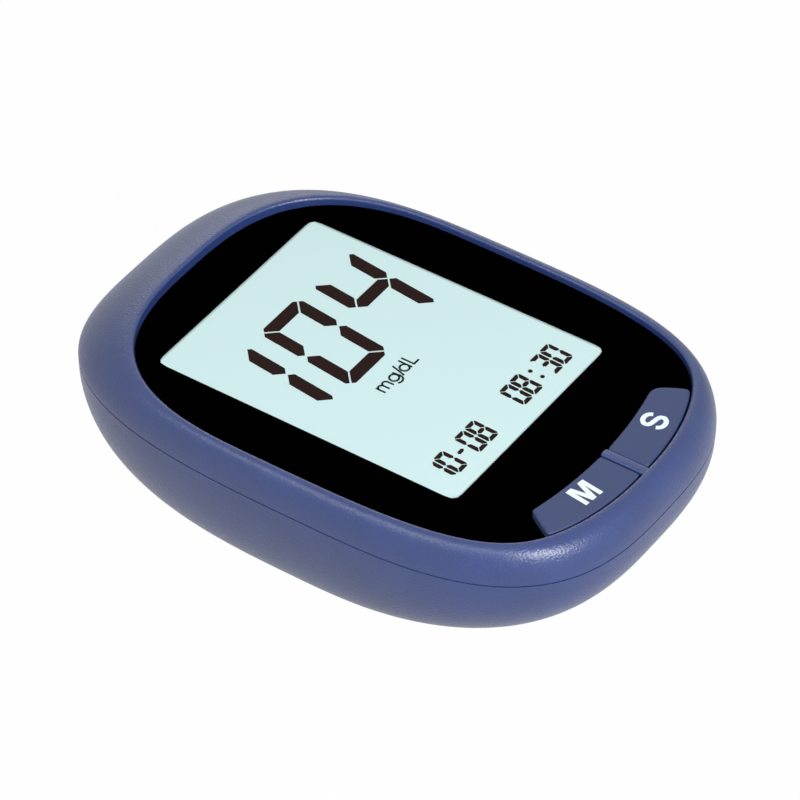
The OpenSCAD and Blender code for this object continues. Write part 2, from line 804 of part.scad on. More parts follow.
module strip_guide() {
    color("#20242c")
    difference() {
        intersection() {
            block([-guide_half, guide_y[0], guide_z[0]],
                  [guide_half, guide_y[1] + cut, guide_z[1]]);
            union() {
                upper_outer();
                lower_outer();
            }
        }
        block([-slot_w / 2, guide_y[0] - cut, slot_z - slot_h / 2],
              [slot_w / 2, guide_y[1] + cut, slot_z + slot_h / 2]);
        rotate([90, 0, 90]) linear_extrude(slot_w, center = true)
            polygon([[guide_y[1] - mouth_l, slot_z - slot_h / 2],
                     [guide_y[1] + eps, slot_z - slot_h / 2 - mouth_rise],
                     [guide_y[1] + eps, slot_z + slot_h / 2 + mouth_rise],
                     [guide_y[1] - mouth_l, slot_z + slot_h / 2]]);
    }
}

module strip_connector() {
    color("#1c1c20")
    difference() {
        block([-connector_half, connector_y[0], board_top_z],
              [connector_half, connector_y[1], connector_top_z]);
        block([-slot_w / 2, connector_y[0] + 1, slot_z - slot_h / 2 + 0.05],
              [slot_w / 2, connector_y[1] + cut, slot_z + slot_h / 2 - 0.05]);
        for (k = [0 : contact_count - 1])
            translate([(k - (contact_count - 1) / 2) * contact_pitch, 0, 0])
                block([-contact_w / 2 - 0.15, connector_y[0] - cut, board_top_z - cut],
                      [contact_w / 2 + 0.15, connector_y[1] - 1, slot_z]);
    }
}

// Sprung leaves that touch the test strip
module strip_contacts() {
    y = connector_y[0];
    z = board_top_z;
    rise = slot_z - slot_h / 2 - z + 0.15;
    color("#caa94e")
    for (k = [0 : contact_count - 1])
        translate([(k - (contact_count - 1) / 2) * contact_pitch, 0, 0])
            rotate([90, 0, 90]) linear_extrude(contact_w, center = true)
                polygon([[y - 0.5, z], [y + 1.5, z], [y + 4.2, z + rise],
                         [y + 5.8, z + rise - 0.4], [y + 5.9, z + rise - 0.25],
                         [y + 4.2, z + rise + 0.2], [y + 1.45, z + 0.2],
                         [y - 0.5, z + 0.2]]);
}

// Parts on the board: the controller in the middle, the rest in the strips
// between the battery bay and the casing's sides
chip_spot = [0, window_y + 3.9];
chip_w = 10;
chip_h = 1.0;
strip_x = half_w - 10;
memory_spot = [-strip_x, chip_spot[1]];
crystal_r = 1;
crystal_l = 6;
capacitor_size = [1.6, 0.8, 0.8];
resistor_size = [1.6, 0.8, 0.5];
column_gap = 2.4;
buzzer_r = 4.5;
buzzer_h = 2.4;
buzzer_hole_r = 0.8;

module controller_chip() {
    color("#1a1b1d")
    block([chip_spot[0] - chip_w / 2, chip_spot[1] - chip_w / 2, board_top_z + 0.1],
          [chip_spot[0] + chip_w / 2, chip_spot[1] + chip_w / 2,
           board_top_z + 0.1 + chip_h]);
}

module memory_chip() {
    color("#1a1b1d")
    block([memory_spot[0] - 2, memory_spot[1] - 2.5, board_z - 1.5],
          [memory_spot[0] + 2, memory_spot[1] + 2.5, board_z - 0.1]);
}

// Tinned legs of both chips
module chip_leads() {
    leg = [0.3, 1.0];
    color("#c4c6c8") {
        for (k = [0 : 11], turn = [0, 90, 180, 270])
            translate([chip_spot[0], chip_spot[1], board_top_z]) rotate(turn)
                translate([(k - 5.5) * 0.75 - leg[0] / 2, chip_w / 2, 0])
                    cube([leg[0], leg[1], 0.2]);
        for (k = [0 : 3], sx = [-1, 1])
            translate([memory_spot[0] + sx * 2.5 - leg[1] / 2,
                       memory_spot[1] + (k - 1.5) * 1.27 - leg[0] / 2, board_z - 0.2])
                cube([leg[1], leg[0], 0.2]);
    }
}

module clock_crystal() {
    color("#c9ccd0")
    translate([-strip_x, chip_spot[1] - 3 * crystal_l, board_z - crystal_r])
        rotate([-90, 0, 0]) cylinder(r = crystal_r, h = crystal_l);
}

// Parts of one size under the board, staggered in two columns from [x, y]
module small_parts(count, x, y, step, size) {
    for (k = [0 : count - 1])
        translate([x - size[0] / 2 + column_gap * (k % 2),
                   y - size[1] / 2 + step * k, board_z - size[2]])
            cube(size);
}

module capacitors() {
    color("#b79a6c")
        small_parts(5, strip_x - column_gap * 0.8, window_near_y + column_gap * 1.6,
                    2.75 * capacitor_size[1], capacitor_size);
}

module resistors() {
    color("#2a2a2e")
        small_parts(6, -strip_x + column_gap / 4, chip_spot[1] + chip_w * 0.6,
                    2 * resistor_size[1], resistor_size);
}

module buzzer() {
    x = strip_x + 0.3;
    y = window_y + 0.9;
    color("#26262a")
    difference() {
        pin(x, y, buzzer_r, board_z - buzzer_h, board_z);
        pin(x, y, buzzer_hole_r, board_z - buzzer_h - cut, board_z - buzzer_h / 2);
    }
}

// Cells and contacts -------------------------------------------------------

// AAA cell on the side sx, its contact button towards sy
module cell(sx, sy) {
    tip_y = sy > 0 ? bay_far_y - plate_t - pad_t : bay_near_y + plate_t + pad_t;
    translate([sx * cell_x, tip_y, cell_z]) rotate([sy > 0 ? 90 : -90, 0, 0]) {
        cylinder(r = tip_r, h = tip_l + eps);
        translate([0, 0, tip_l]) cylinder(r = cell_d / 2, h = cell_l - tip_l);
    }
}

module battery_left() { color("#3a3f46") cell(-1, 1); }
module battery_right() { color("#3a3f46") cell(1, -1); }

spring_turns = 3;
spring_wire_r = 0.3;
spring_base_r = 3.6;
spring_tip_r = 2.4;
spring_steps = 18;

// Conical coil from its plate at y = 0 along +Y
module coil() {
    rings = [for (j = [0 : spring_turns * spring_steps])
        let (share = j / (spring_turns * spring_steps),
             turn = 360 * j / spring_steps,
             r = spring_base_r + (spring_tip_r - spring_base_r) * share,
             y = spring_wire_r + 0.02 + (spring_l - 2 * spring_wire_r - 0.04) * share)
        [for (k = [0 : 5])
            let (a = 60 * k, q = r + spring_wire_r * cos(a))
            [q * cos(turn), y + spring_wire_r * sin(a), q * sin(turn)]]];
    skin(rings);
}

module battery_springs() {
    color("#c9ccd0") {
        translate([-cell_x, bay_near_y + plate_t, cell_z]) coil();
        translate([cell_x, bay_far_y - plate_t, cell_z]) mirror([0, 1, 0]) coil();
    }
}

module contact_pad(sx, y, dir) {
    translate([sx * cell_x, y, cell_z]) rotate([dir > 0 ? -90 : 90, 0, 0])
        cylinder(r = pad_r, h = pad_t);
}

plate_half_h = 4;
plate_side_gap = 0.6;

module link_plate() {
    color("#c9ccd0") {
        block([-bay_half + plate_side_gap, bay_far_y - plate_t, cell_z - plate_half_h],
              [bay_half - plate_side_gap, bay_far_y, cell_z + plate_half_h]);
        contact_pad(-1, bay_far_y - plate_t, -1);
    }
}

// Near contact plate with the leg that is soldered to the board
module near_plate(sx) {
    low_x = sx > 0 ? plate_side_gap : -bay_half + plate_side_gap;
    high_x = sx > 0 ? bay_half - plate_side_gap : -plate_side_gap;
    block([low_x, bay_near_y, cell_z - plate_half_h],
          [high_x, bay_near_y + plate_t, cell_z + plate_half_h]);
    block([sx * cell_x - 1, bay_near_y, cell_z], [sx * cell_x + 1, bay_near_y + plate_t,
          board_z]);
}

module positive_contact() {
    color("#c9ccd0") {
        near_plate(1);
        contact_pad(1, bay_near_y + plate_t, 1);
    }
}

module negative_contact() { color("#c9ccd0") near_plate(-1); }

// Screws -------------------------------------------------------------------

// Self-tapping screw, its shank up from the head's face at z = 0
module screw(r, l, hr, hh) {
    difference() {
        union() {
            translate([0, 0, -hh]) cylinder(r = hr, h = hh);
            cylinder(r = r, h = l);
        }
        for (turn = [0, 90])
            rotate(turn) translate([-hr * 0.6, -hr * 0.14, -hh - cut])
                cube([hr * 1.2, hr * 0.28, hh * 0.55 + cut]);
    }
}

module case_screws() {
    color("#b9bcc0")
    for (p = posts)
        translate([p[0], p[1], head_seat_z]) screw(screw_r, screw_l, head_r, head_h);
}

module board_screws() {
    color("#b9bcc0")
    for (p = board_spots)
        translate([p[0], p[1], board_z])
            screw(board_screw_r, board_screw_l - 0.6, board_head_r, board_head_h);
}

upper_housing();
lower_housing();
battery_door();
door_latch();
display_lens();
lens_mask();
front_polarizer();
front_glass();
rear_glass();
rear_reflector();
display_segments();
display_frame();
contact_strip_far();
contact_strip_near();
circuit_board();
memory_key();
set_key();
memory_switch();
set_switch();
memory_plunger();
set_plunger();
strip_guide();
strip_connector();
strip_contacts();
controller_chip();
memory_chip();
chip_leads();
clock_crystal();
capacitors();
resistors();
buzzer();
battery_left();
battery_right();
battery_springs();
link_plate();
positive_contact();
negative_contact();
case_screws();
board_screws();
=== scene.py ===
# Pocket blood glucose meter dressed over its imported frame. Metres throughout: the
# meter lies on its back, display up (+Z), strip port at the far end (+Y).
import bpy
import bmesh
import math
from mathutils import Matrix, Vector


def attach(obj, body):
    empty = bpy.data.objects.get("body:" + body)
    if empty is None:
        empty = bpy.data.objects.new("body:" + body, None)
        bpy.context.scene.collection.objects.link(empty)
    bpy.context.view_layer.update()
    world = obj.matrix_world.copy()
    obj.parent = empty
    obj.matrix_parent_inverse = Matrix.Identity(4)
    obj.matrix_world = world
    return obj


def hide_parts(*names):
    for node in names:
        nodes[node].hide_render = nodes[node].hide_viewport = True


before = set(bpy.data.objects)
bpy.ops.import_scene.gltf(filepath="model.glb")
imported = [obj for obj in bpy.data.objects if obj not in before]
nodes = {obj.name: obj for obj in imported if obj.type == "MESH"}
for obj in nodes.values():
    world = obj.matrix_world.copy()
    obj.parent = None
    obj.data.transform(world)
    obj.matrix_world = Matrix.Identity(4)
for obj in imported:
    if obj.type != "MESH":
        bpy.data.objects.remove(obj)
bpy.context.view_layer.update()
mm = 0.001

# outlines and heights in millimetres, as the frame has them
casing = {
    "halfWidth": 30.0, "farY": 44.52, "nearY": -44.6, "widestY": -5.2,
    "seamFarPower": 3.17, "seamNearPower": 2.95,
    "recessHalfWidth": 27.35, "recessMiddleY": 4.4, "recessFarY": 34.8, "recessNearY": -41.0,
    "recessFarPower": 2.86, "recessNearPower": 3.66, "recessNearEase": 0.95,
    "baseHalfWidth": 24.4, "baseFarY": 32.2, "baseNearY": -22.2, "basePower": 2.7,
    "lensTopZ": 20.3, "seamZ": 15.7, "rimRise": 1.0, "rimFarRise": 1.6, "rimRound": 0.45,
    "rimPower": 2.15, "rimFarEase": 0.75, "rimNearEase": 0.10,
    "bellyPower": 2.15, "bellyEndEase": 0.12,
    "wall": 1.8, "ledgeLowZ": 18.1, "ledgeTopZ": 19.1,
}
keys = {
    "rimGap": 0.25, "edgeY": -34.3, "arcRadius": 65.0, "arcCentreY": 30.7,
    "endX": 15.2, "endAngle": 57.5, "endOut": 1.2, "endNear": 1.9, "slotGrow": 0.2,
}
belowZ = -1   # where cutters for the underside start
stationCount = 240
stationEase = 1.45   # spaces the stations evenly along outlines of about this roundness
nearEasePower = 7    # keeps the ease of an outline's power close to its near end


def signedPower(value, power):
    return math.copysign(abs(value) ** power, value)


def stationAngle(i):
    turn = math.tau * i / stationCount
    return math.atan2(signedPower(math.sin(turn), stationEase),
                      signedPower(math.cos(turn), stationEase))


stationAngles = [stationAngle(i) for i in range(stationCount)]
farShare = [max(math.sin(t), 0) ** 2 for t in stationAngles]
nearShare = [max(-math.sin(t), 0) ** 2 for t in stationAngles]


def eggLine(halfWidth, middleY, farY, nearY, farPower, nearPower, nearEase=0.0):
    line = []
    for t in stationAngles:
        far = math.sin(t) >= 0
        power = farPower if far else nearPower - nearEase * (-math.sin(t)) ** nearEasePower
        reach = farY - middleY if far else middleY - nearY
        line.append(Vector((halfWidth * signedPower(math.cos(t), 2 / power),
                            middleY + reach * signedPower(math.sin(t), 2 / power))))
    return line


def insetLine(line, depth):
    moved = []
    for i, point in enumerate(line):
        along = (line[(i + 1) % len(line)] - line[i - 1]).normalized()
        moved.append(point - depth * Vector((along.y, -along.x)))
    return moved


seamLine = eggLine(casing["halfWidth"], casing["widestY"], casing["farY"], casing["nearY"],
                   casing["seamFarPower"], casing["seamNearPower"])
recessLine = eggLine(casing["recessHalfWidth"], casing["recessMiddleY"], casing["recessFarY"],
                     casing["recessNearY"], casing["recessFarPower"], casing["recessNearPower"],
                     casing["recessNearEase"])
baseLine = eggLine(casing["baseHalfWidth"], 0, casing["baseFarY"], casing["baseNearY"],
                   casing["basePower"], casing["basePower"])
crestLine = insetLine(recessLine, -casing["rimRound"])
crestHeights = [casing["lensTopZ"] + casing["rimRise"]
                + (casing["rimFarRise"] - casing["rimRise"]) * share for share in farShare]
rimPowers = [casing["rimPower"] - casing["rimFarEase"] * far + casing["rimNearEase"] * near
             for far, near in zip(farShare, nearShare)]
bellyPowers = [casing["bellyPower"] + casing["bellyEndEase"] * (far + near)
               for far, near in zip(farShare, nearShare)]


def atHeight(line, z):
    heights = z if isinstance(z, list) else [z] * len(line)
    return [Vector((p.x, p.y, h)) for p, h in zip(line, heights)]


def rimRing(degrees):
    w = math.radians(degrees)
    ring = []
    for crest, seam, crestZ, power in zip(crestLine, seamLine, crestHeights, rimPowers):
        out = max(math.cos(w), 0) ** (2 / power)
        up = math.sin(w) ** (2 / power)
        p = crest + (seam - crest) * out
        ring.append(Vector((p.x, p.y, casing["seamZ"] + (crestZ - casing["seamZ"]) * up)))
    return ring


def rimLine(z):
    line = []
    for crest, seam, crestZ, power in zip(crestLine, seamLine, crestHeights, rimPowers):
        up = max(z - casing["seamZ"], 0) / (crestZ - casing["seamZ"])
        line.append(crest + (seam - crest) * (1 - up ** power) ** (1 / power))
    return line


def edgeRing(degrees):
    w = math.radians(degrees)
    line = insetLine(recessLine, -casing["rimRound"] * (1 - math.sin(w)))
    drop = casing["rimRound"] * (1 - math.cos(w))
    return atHeight(line, [z - drop for z in crestHeights])


def bellyRing(base, top, lowZ, degrees):
    w, highZ = math.radians(degrees), casing["seamZ"]
    ring = []
    for low, high, power in zip(base, top, bellyPowers):
        p = low + (high - low) * math.sin(w) ** (2 / power)
        down = max(math.cos(w), 0) ** (2 / power)
        ring.append(Vector((p.x, p.y, highZ - (highZ - lowZ) * down)))
    return ring


def rayRing(middle, distanceAt, farthest, count=stationCount, halvings=40):
    # where evenly turned rays from the middle cross the line that distanceAt is zero on
    ring = []
    for i in range(count):
        turn = math.tau * i / count
        way = Vector((math.cos(turn), math.sin(turn)))
        near, far = 0.0, farthest
        for _ in range(halvings):
            reach = (near + far) / 2
            near, far = (reach, far) if distanceAt(way * reach) < 0 else (near, reach)
        ring.append(Vector(middle) + way * near)
    return ring


def roundedRectRing(middle, halfWidth, halfLength, radius, z):
    def distance(p):
        q = Vector((abs(p.x) - halfWidth + radius, abs(p.y) - halfLength + radius))
        return Vector((max(q.x, 0), max(q.y, 0))).length + min(max(q.x, q.y), 0) - radius

    return atHeight(rayRing(middle, distance, halfWidth + halfLength), z)


def newPiece(bm, name):
    mesh = bpy.data.meshes.new(name)
    bm.to_mesh(mesh)
    bm.free()
    piece = bpy.data.objects.new(name, mesh)
    bpy.context.scene.collection.objects.link(piece)
    return piece


def ringSkin(rings, name, closed=False):
    # grows a skin ring by ring; each vertex remembers its station
    bm = bmesh.new()
    station = bm.verts.layers.int.new("station")
    bmesh.ops.create_circle(bm, segments=len(rings[0]), radius=1, cap_ends=not closed)
    for i, v in enumerate(bm.verts):
        v[station] = i
        v.co = rings[0][i]
    firstEdges = edges = list(bm.edges)
    for ring in rings[1:]:
        grown = bmesh.ops.extrude_edge_only(bm, edges=edges)["geom"]
        fresh = {g for g in grown if isinstance(g, bmesh.types.BMVert)}
        for v in fresh:
            v.co = ring[v[station]]
        edges = [g for g in grown if isinstance(g, bmesh.types.BMEdge)
                 and g.verts[0] in fresh and g.verts[1] in fresh]
    if closed:
        bmesh.ops.bridge_loops(bm, edges=firstEdges + edges)
    else:
        bmesh.ops.edgeloop_fill(bm, edges=edges)
    bmesh.ops.recalc_face_normals(bm, faces=bm.faces)
    return newPiece(bm, name)


def blockPiece(low, high, bevelBy=0.0):
    bm = bmesh.new()
    size = Vector(high) - Vector(low)
    middle = (Vector(high) + Vector(low)) / 2
    bmesh.ops.create_cube(bm, size=1)
    bmesh.ops.scale(bm, vec=size, verts=bm.verts)
    bmesh.ops.translate(bm, vec=middle, verts=bm.verts)
    if bevelBy:
        bmesh.ops.bevel(bm, geom=bm.edges, offset=bevelBy, segments=8, profile=0.5,
                        affect="EDGES", material=-1)
    return newPiece(bm, "cutter")


def roundPieces(places, radius, lowZ, highZ, segments=48):
    # upright cylinders, one mesh
    bm = bmesh.new()
    for x, y in places:
        bmesh.ops.create_cone(bm, cap_ends=True, segments=segments, radius1=radius,
                              radius2=radius, depth=highZ - lowZ,
                              matrix=Matrix.Translation((x, y, (lowZ + highZ) / 2)))
    return newPiece(bm, "cutter")


def profilePiece(points, lowX, highX, name="cutter"):
    # outline of (y, z) points drawn out along X
    bm = bmesh.new()
    face = bm.faces.new([bm.verts.new((lowX, y, z)) for y, z in points])
    grown = bmesh.ops.extrude_face_region(bm, geom=[face])["geom"]
    bmesh.ops.translate(bm, vec=(highX - lowX, 0, 0),
                        verts=[g for g in grown if isinstance(g, bmesh.types.BMVert)])
    bmesh.ops.recalc_face_normals(bm, faces=bm.faces)
    return newPiece(bm, name)


def carve(target, tools, operation="DIFFERENCE"):
    for tool in tools:
        step = target.modifiers.new("carve", "BOOLEAN")
        step.object = tool
        step.operation = operation
        step.solver = "EXACT"
        applyModifiers(target)
        bpy.data.objects.remove(tool)
    return target


def applyModifiers(piece):
    bpy.context.view_layer.update()
    depsgraph = bpy.context.evaluated_depsgraph_get()
    shaped = bpy.data.meshes.new_from_object(piece.evaluated_get(depsgraph))
    piece.modifiers.clear()
    old = piece.data
    piece.data = shaped
    bpy.data.meshes.remove(old)


def finishPiece(piece, body, material, sharpAngle=32):
    # everything is modelled in millimetres and lands in metres here
    mesh = piece.data
    mesh.transform(Matrix.Scale(mm, 4))
    mesh.shade_smooth()
    mesh.set_sharp_from_angle(angle=math.radians(sharpAngle))
    mesh.materials.clear()
    mesh.materials.append(material)
    mesh.name = piece.name
    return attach(piece, body)


def newMaterial(name):
    material = bpy.data.materials.new(name)
    material.use_nodes = True
    tree = material.node_tree
    shader = tree.nodes["Principled BSDF"]
    coords = tree.nodes.new("ShaderNodeTexCoord")
    return material, tree, shader, coords.outputs["Object"]


def noiseFrom(tree, coords, size, detail=2.0):
    noise = tree.nodes.new("ShaderNodeTexNoise")
    noise.inputs["Scale"].default_value = 1 / size
    noise.inputs["Detail"].default_value = detail
    tree.links.new(coords, noise.inputs["Vector"])
    return noise.outputs["Fac"]


def rampFrom(tree, value, stops, steps="LINEAR"):
    ramp = tree.nodes.new("ShaderNodeValToRGB")
    ramp.color_ramp.interpolation = steps
    tree.links.new(value, ramp.inputs["Fac"])
    elements = ramp.color_ramp.elements
    while len(elements) < len(stops):
        elements.new(0.5)
    for element, (place, colour) in zip(elements, stops):
        element.position = place
        element.color = (*colour, 1)
    return ramp.outputs["Color"]


def rangeFrom(tree, value, low, high, fromLow=0.3, fromHigh=0.7):
    mapping = tree.nodes.new("ShaderNodeMapRange")
    tree.links.new(value, mapping.inputs["Value"])
    mapping.inputs["From Min"].default_value = fromLow
    mapping.inputs["From Max"].default_value = fromHigh
    mapping.inputs["To Min"].default_value = low
    mapping.inputs["To Max"].default_value = high
    return mapping.outputs["Result"]


def bumpFrom(tree, height, strength, distance, under=None):
    bump = tree.nodes.new("ShaderNodeBump")
    bump.inputs["Strength"].default_value = strength
    bump.inputs["Distance"].default_value = distance
    tree.links.new(height, bump.inputs["Height"])
    if under:
        tree.links.new(under, bump.inputs["Normal"])
    return bump.outputs["Normal"]


def linear(red, green, blue):
    # screen colour 0-255 to the scene's linear values
    values = []
    for level in (red, green, blue):
        v = level / 255
        values.append(v / 12.92 if v <= 0.04045 else ((v + 0.055) / 1.055) ** 2.4)
    return tuple(values)


def scaled(colour, factor):
    return tuple(min(1, c * factor) for c in colour)


def blendOf(tree, first, second, share):
    # share of the second value in the first
    mix = tree.nodes.new("ShaderNodeMix")
    mix.inputs["Factor"].default_value = share
    tree.links.new(first, mix.inputs["A"])
    tree.links.new(second, mix.inputs["B"])
    return mix.outputs["Result"]


def mouldedPlastic(name, colour, roughness=0.45, grain=0.16 * mm, grainHeight=0.012 * mm,
                   specular=0.5, variation=0.06, speckle=0.25):
    # spark-eroded grain: it tints, roughens and embosses the surface together
    material, tree, shader, coords = newMaterial(name)
    fine = noiseFrom(tree, coords, grain, 1.5)
    broad = noiseFrom(tree, coords, 9 * mm, 2)
    tint = rampFrom(tree, blendOf(tree, broad, fine, speckle),
                    [(0.3, scaled(colour, 1 - variation)), (0.7, scaled(colour, 1 + variation))])
    tree.links.new(tint, shader.inputs["Base Color"])
    tree.links.new(rangeFrom(tree, fine, roughness - 0.06, roughness + 0.06),
                   shader.inputs["Roughness"])
    tree.links.new(bumpFrom(tree, fine, 1.0, grainHeight), shader.inputs["Normal"])
    shader.inputs["Specular IOR Level"].default_value = specular
    return material


def platedMetal(name, colour, roughness=0.3, scratch=0.05 * mm):
    material, tree, shader, coords = newMaterial(name)
    mapping = tree.nodes.new("ShaderNodeMapping")
    mapping.inputs["Scale"].default_value = (1, 0.08, 1)
    tree.links.new(coords, mapping.inputs["Vector"])
    lines = noiseFrom(tree, mapping.outputs["Vector"], scratch, 2)
    clouds = noiseFrom(tree, coords, 2 * mm, 3)
    tree.links.new(rampFrom(tree, clouds, [(0.3, scaled(colour, 0.86)), (0.7, colour)]),
                   shader.inputs["Base Color"])
    tree.links.new(rangeFrom(tree, lines, roughness - 0.08, roughness + 0.1),
                   shader.inputs["Roughness"])
    tree.links.new(bumpFrom(tree, lines, 0.3, 0.004 * mm), shader.inputs["Normal"])
    shader.inputs["Metallic"].default_value = 1
    return material


casingFinish = {"colour": linear(39, 57, 109), "roughness": 0.36, "grain": 0.31 * mm,
                "grainHeight": 0.062 * mm, "specular": 0.66, "variation": 0.16, "speckle": 0.5}
keyFinish = {"colour": linear(58, 70, 108), "roughness": 0.55, "grain": 0.16 * mm,
             "grainHeight": 0.02 * mm, "specular": 0.32, "variation": 0.06}
casingBlue = mouldedPlastic("casingBlue", **casingFinish)
keyBlue = mouldedPlastic("keyBlue", **keyFinish)
lensBlack = mouldedPlastic("lensBlack", linear(1, 1, 2), roughness=0.3, grain=0.4 * mm,
                           grainHeight=0.001 * mm, specular=0.0)


def displayFilmPaintedShadow(name, colour, farEdgeY, sideEdgeX, shadowFade):
    # matt film with a painted shadow: its base colour darkens to half along the window's far and
    # right edges, where the mask's edge would cast a shadow
    material, tree, shader, coords = newMaterial(name)
    parts = tree.nodes.new("ShaderNodeSeparateXYZ")
    tree.links.new(coords, parts.inputs["Vector"])
    cloud = noiseFrom(tree, coords, 0.08 * mm, 1.5)
    # painted shadow: fades from full colour to half over shadowFade towards the far (Y) and right
    # (X) edges
    edges = tree.nodes.new("ShaderNodeMath")
    edges.operation = "MINIMUM"
    for socket, way, edge in ((0, "Y", farEdgeY), (1, "X", sideEdgeX)):
        tree.links.new(rangeFrom(tree, parts.outputs[way], 1, 0, edge - shadowFade, edge),
                       edges.inputs[socket])
    tree.links.new(rampFrom(tree, blendOf(tree, edges.outputs[0], cloud, 0.02),
                            [(0.0, scaled(colour, 0.5)), (0.9, colour)]),
                   shader.inputs["Base Color"])
    tree.links.new(rangeFrom(tree, cloud, 0.56, 0.64), shader.inputs["Roughness"])
    tree.links.new(bumpFrom(tree, cloud, 1.0, 0.001 * mm), shader.inputs["Normal"])
    shader.inputs["Specular IOR Level"].default_value = 0.1
    return material


segmentInk = mouldedPlastic("segmentInk", linear(34, 18, 16), roughness=0.6, grain=0.1 * mm,
                            grainHeight=0.001 * mm, specular=0.05)
wordInk = mouldedPlastic("wordInk", linear(20, 30, 32), roughness=0.6, grain=0.1 * mm,
                         grainHeight=0.001 * mm, specular=0.05)
legendInk = mouldedPlastic("legendInk", linear(236, 248, 255), roughness=0.5, grain=0.1 * mm,
                           grainHeight=0.002 * mm, specular=0.2, variation=0.01)
print("materials ready")

# keys: M is the left one and S the right one; their outlines are kept for the lens and ledge too
keyCap = {
    "spot": (8.3, -36.9), "topZ": 21.2, "footZ": 17.1, "flangeTopZ": 17.9, "flangeReach": 0.45,
    "stemLowZ": 16.9, "stemRadius": 1.5, "stemSpot": (8.6, -36.8), "edgeRound": 0.32,
    "stemOverlap": 0.4, "edgeGap": 0.1, "edgeSteps": 5, "faceInset": 0.35, "stations": 180,
    "farthest": 14.0, "halvings": 28,
}
memoryCap = {"side": -1, "barSide": 1.03, "endGap": 0.05, "endBulge": 90.0,
             "farCorner": 0.28, "lowCorner": 0.5, "barCorner": 0.35}
setCap = {"side": 1, "barSide": 0.88, "endGap": 0.42, "endBulge": 14.0,
          "farCorner": 1.1, "lowCorner": 0.5, "barCorner": 0.35}


def roundMax(a, b, radius):
    # larger of two distances, its inside corner rounded
    return min(-radius, max(a, b)) + math.hypot(max(a + radius, 0), max(b + radius, 0))


def recessDistance(x, y):
    # distance outwards from the near half of the recess
    reach = casing["recessMiddleY"] - casing["recessNearY"]
    u, v = abs(x) / casing["recessHalfWidth"], abs(y - casing["recessMiddleY"]) / reach
    power = casing["recessNearPower"]
    for _ in range(6):   # the power depends on the angle, and settles in a few turns
        t = math.atan2(v ** (power / 2), u ** (power / 2))
        power = casing["recessNearPower"] - casing["recessNearEase"] * math.sin(t) ** nearEasePower
    size = (u ** power + v ** power) ** (1 / power)
    slope = math.hypot(u ** (power - 1) / casing["recessHalfWidth"], v ** (power - 1) / reach)
    return (size - 1) / (slope * size ** (1 - power))


def keyDistance(cap, x, y, inset):
    slope = math.radians(keys["endAngle"])
    outwards = Vector((math.sin(slope), math.cos(slope)))
    arcRise = keys["arcRadius"] - math.sqrt(keys["arcRadius"] ** 2 - keys["endX"] ** 2)
    endMiddle = Vector((keys["endX"] + keys["endOut"], keys["edgeY"] + arcRise - keys["endNear"]))
    bulge = cap["endBulge"]
    rim = recessDistance(x, y) + keys["rimGap"]
    end = (Vector((x, y)) - endMiddle + outwards * bulge).length - bulge + cap["endGap"]
    arc = keys["arcRadius"] + keyCap["edgeGap"] - math.hypot(x, y - keys["arcCentreY"])
    outline = roundMax(rim, end, cap["lowCorner"])
    outline = roundMax(outline, arc, cap["farCorner"])
    return roundMax(outline, cap["barSide"] - x, cap["barCorner"]) + inset


def keyRing(cap, inset, z):
    middle = Vector(keyCap["spot"])

    def distance(p):
        return keyDistance(cap, middle.x + p.x, middle.y + p.y, inset)

    ring = rayRing(middle, distance, keyCap["farthest"], keyCap["stations"], keyCap["halvings"])
    return [Vector((cap["side"] * p.x, p.y, z)) for p in ring]


def keySlot(cap, lowZ, highZ):
    ring = keyRing(cap, -keys["slotGrow"], 0)
    return ringSkin([atHeight(ring, lowZ), atHeight(ring, highZ)], "keySlot")


def makeKey(cap, name):
    k = keyCap
    flange, wall = keyRing(cap, -k["flangeReach"], 0), keyRing(cap, 0, 0)
    rings = [atHeight(flange, k["footZ"]), atHeight(flange, k["flangeTopZ"]),
             atHeight(wall, k["flangeTopZ"]), atHeight(wall, k["topZ"] - k["edgeRound"])]
    for step in range(1, k["edgeSteps"] + 1):
        w = math.radians(90 * step / k["edgeSteps"])
        rings.append(keyRing(cap, k["edgeRound"] * (1 - math.cos(w)),
                             k["topZ"] - k["edgeRound"] * (1 - math.sin(w))))
    rings.append(keyRing(cap, k["edgeRound"] + k["faceInset"], k["topZ"]))
    key = ringSkin(rings, name)
    stemAt = (cap["side"] * k["stemSpot"][0], k["stemSpot"][1])
    return carve(key, [roundPieces([stemAt], k["stemRadius"], k["stemLowZ"],
                                   k["footZ"] + k["stemOverlap"])], "UNION")


memoryKey = finishPiece(makeKey(memoryCap, "memoryKey"), "memory_button", keyBlue)
setKey = finishPiece(makeKey(setCap, "setKey"), "set_button", keyBlue)
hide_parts("memory_key")
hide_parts("set_key")
print("keys made")

# upper casing: grown as one skin, then the key slots, port notch, bosses and bar
upperCasing = {
    "grooveHalf": 0.09, "grooveDepth": 0.7, "grooveRound": 0.07, "grooveTurn": 0.021,
    "rimSteps": 22, "firstRimStep": 2, "edgeSteps": 5,
    "windowHalf": (19.5, 25.65), "windowMiddleY": 2.1, "windowCorner": 1.6,
    "bossRadius": 2.2, "boardBossRadius": 1.8, "bossTopZ": 18.6, "boardTopZ": 14.9,
    "bossLowZ": 12.9, "pilotRadius": 0.95, "pilotTopZ": 17.5, "boardPilotRadius": 0.8,
    "boardPilotTopZ": 17.2, "pilotStart": 1, "slotMargin": 0.6,
}
bar = {"half": 0.75, "nearY": -41.6, "farY": -34.18, "corner": 0.4, "footZ": 18.5,
       "topZ": 21.2, "edgeRound": 0.26, "edgeSteps": 4}
portNotch = {"low": (-6.25, 40.05, 14.44), "high": (6.25, 46.0, 17.76)}
casePosts = [(-18.5, 33.6), (18.5, 33.6), (-20.5, -31.0), (20.5, -31.0)]
boardPosts = [(-12.5, 34.5), (12.5, 34.5), (0.0, -30.0)]


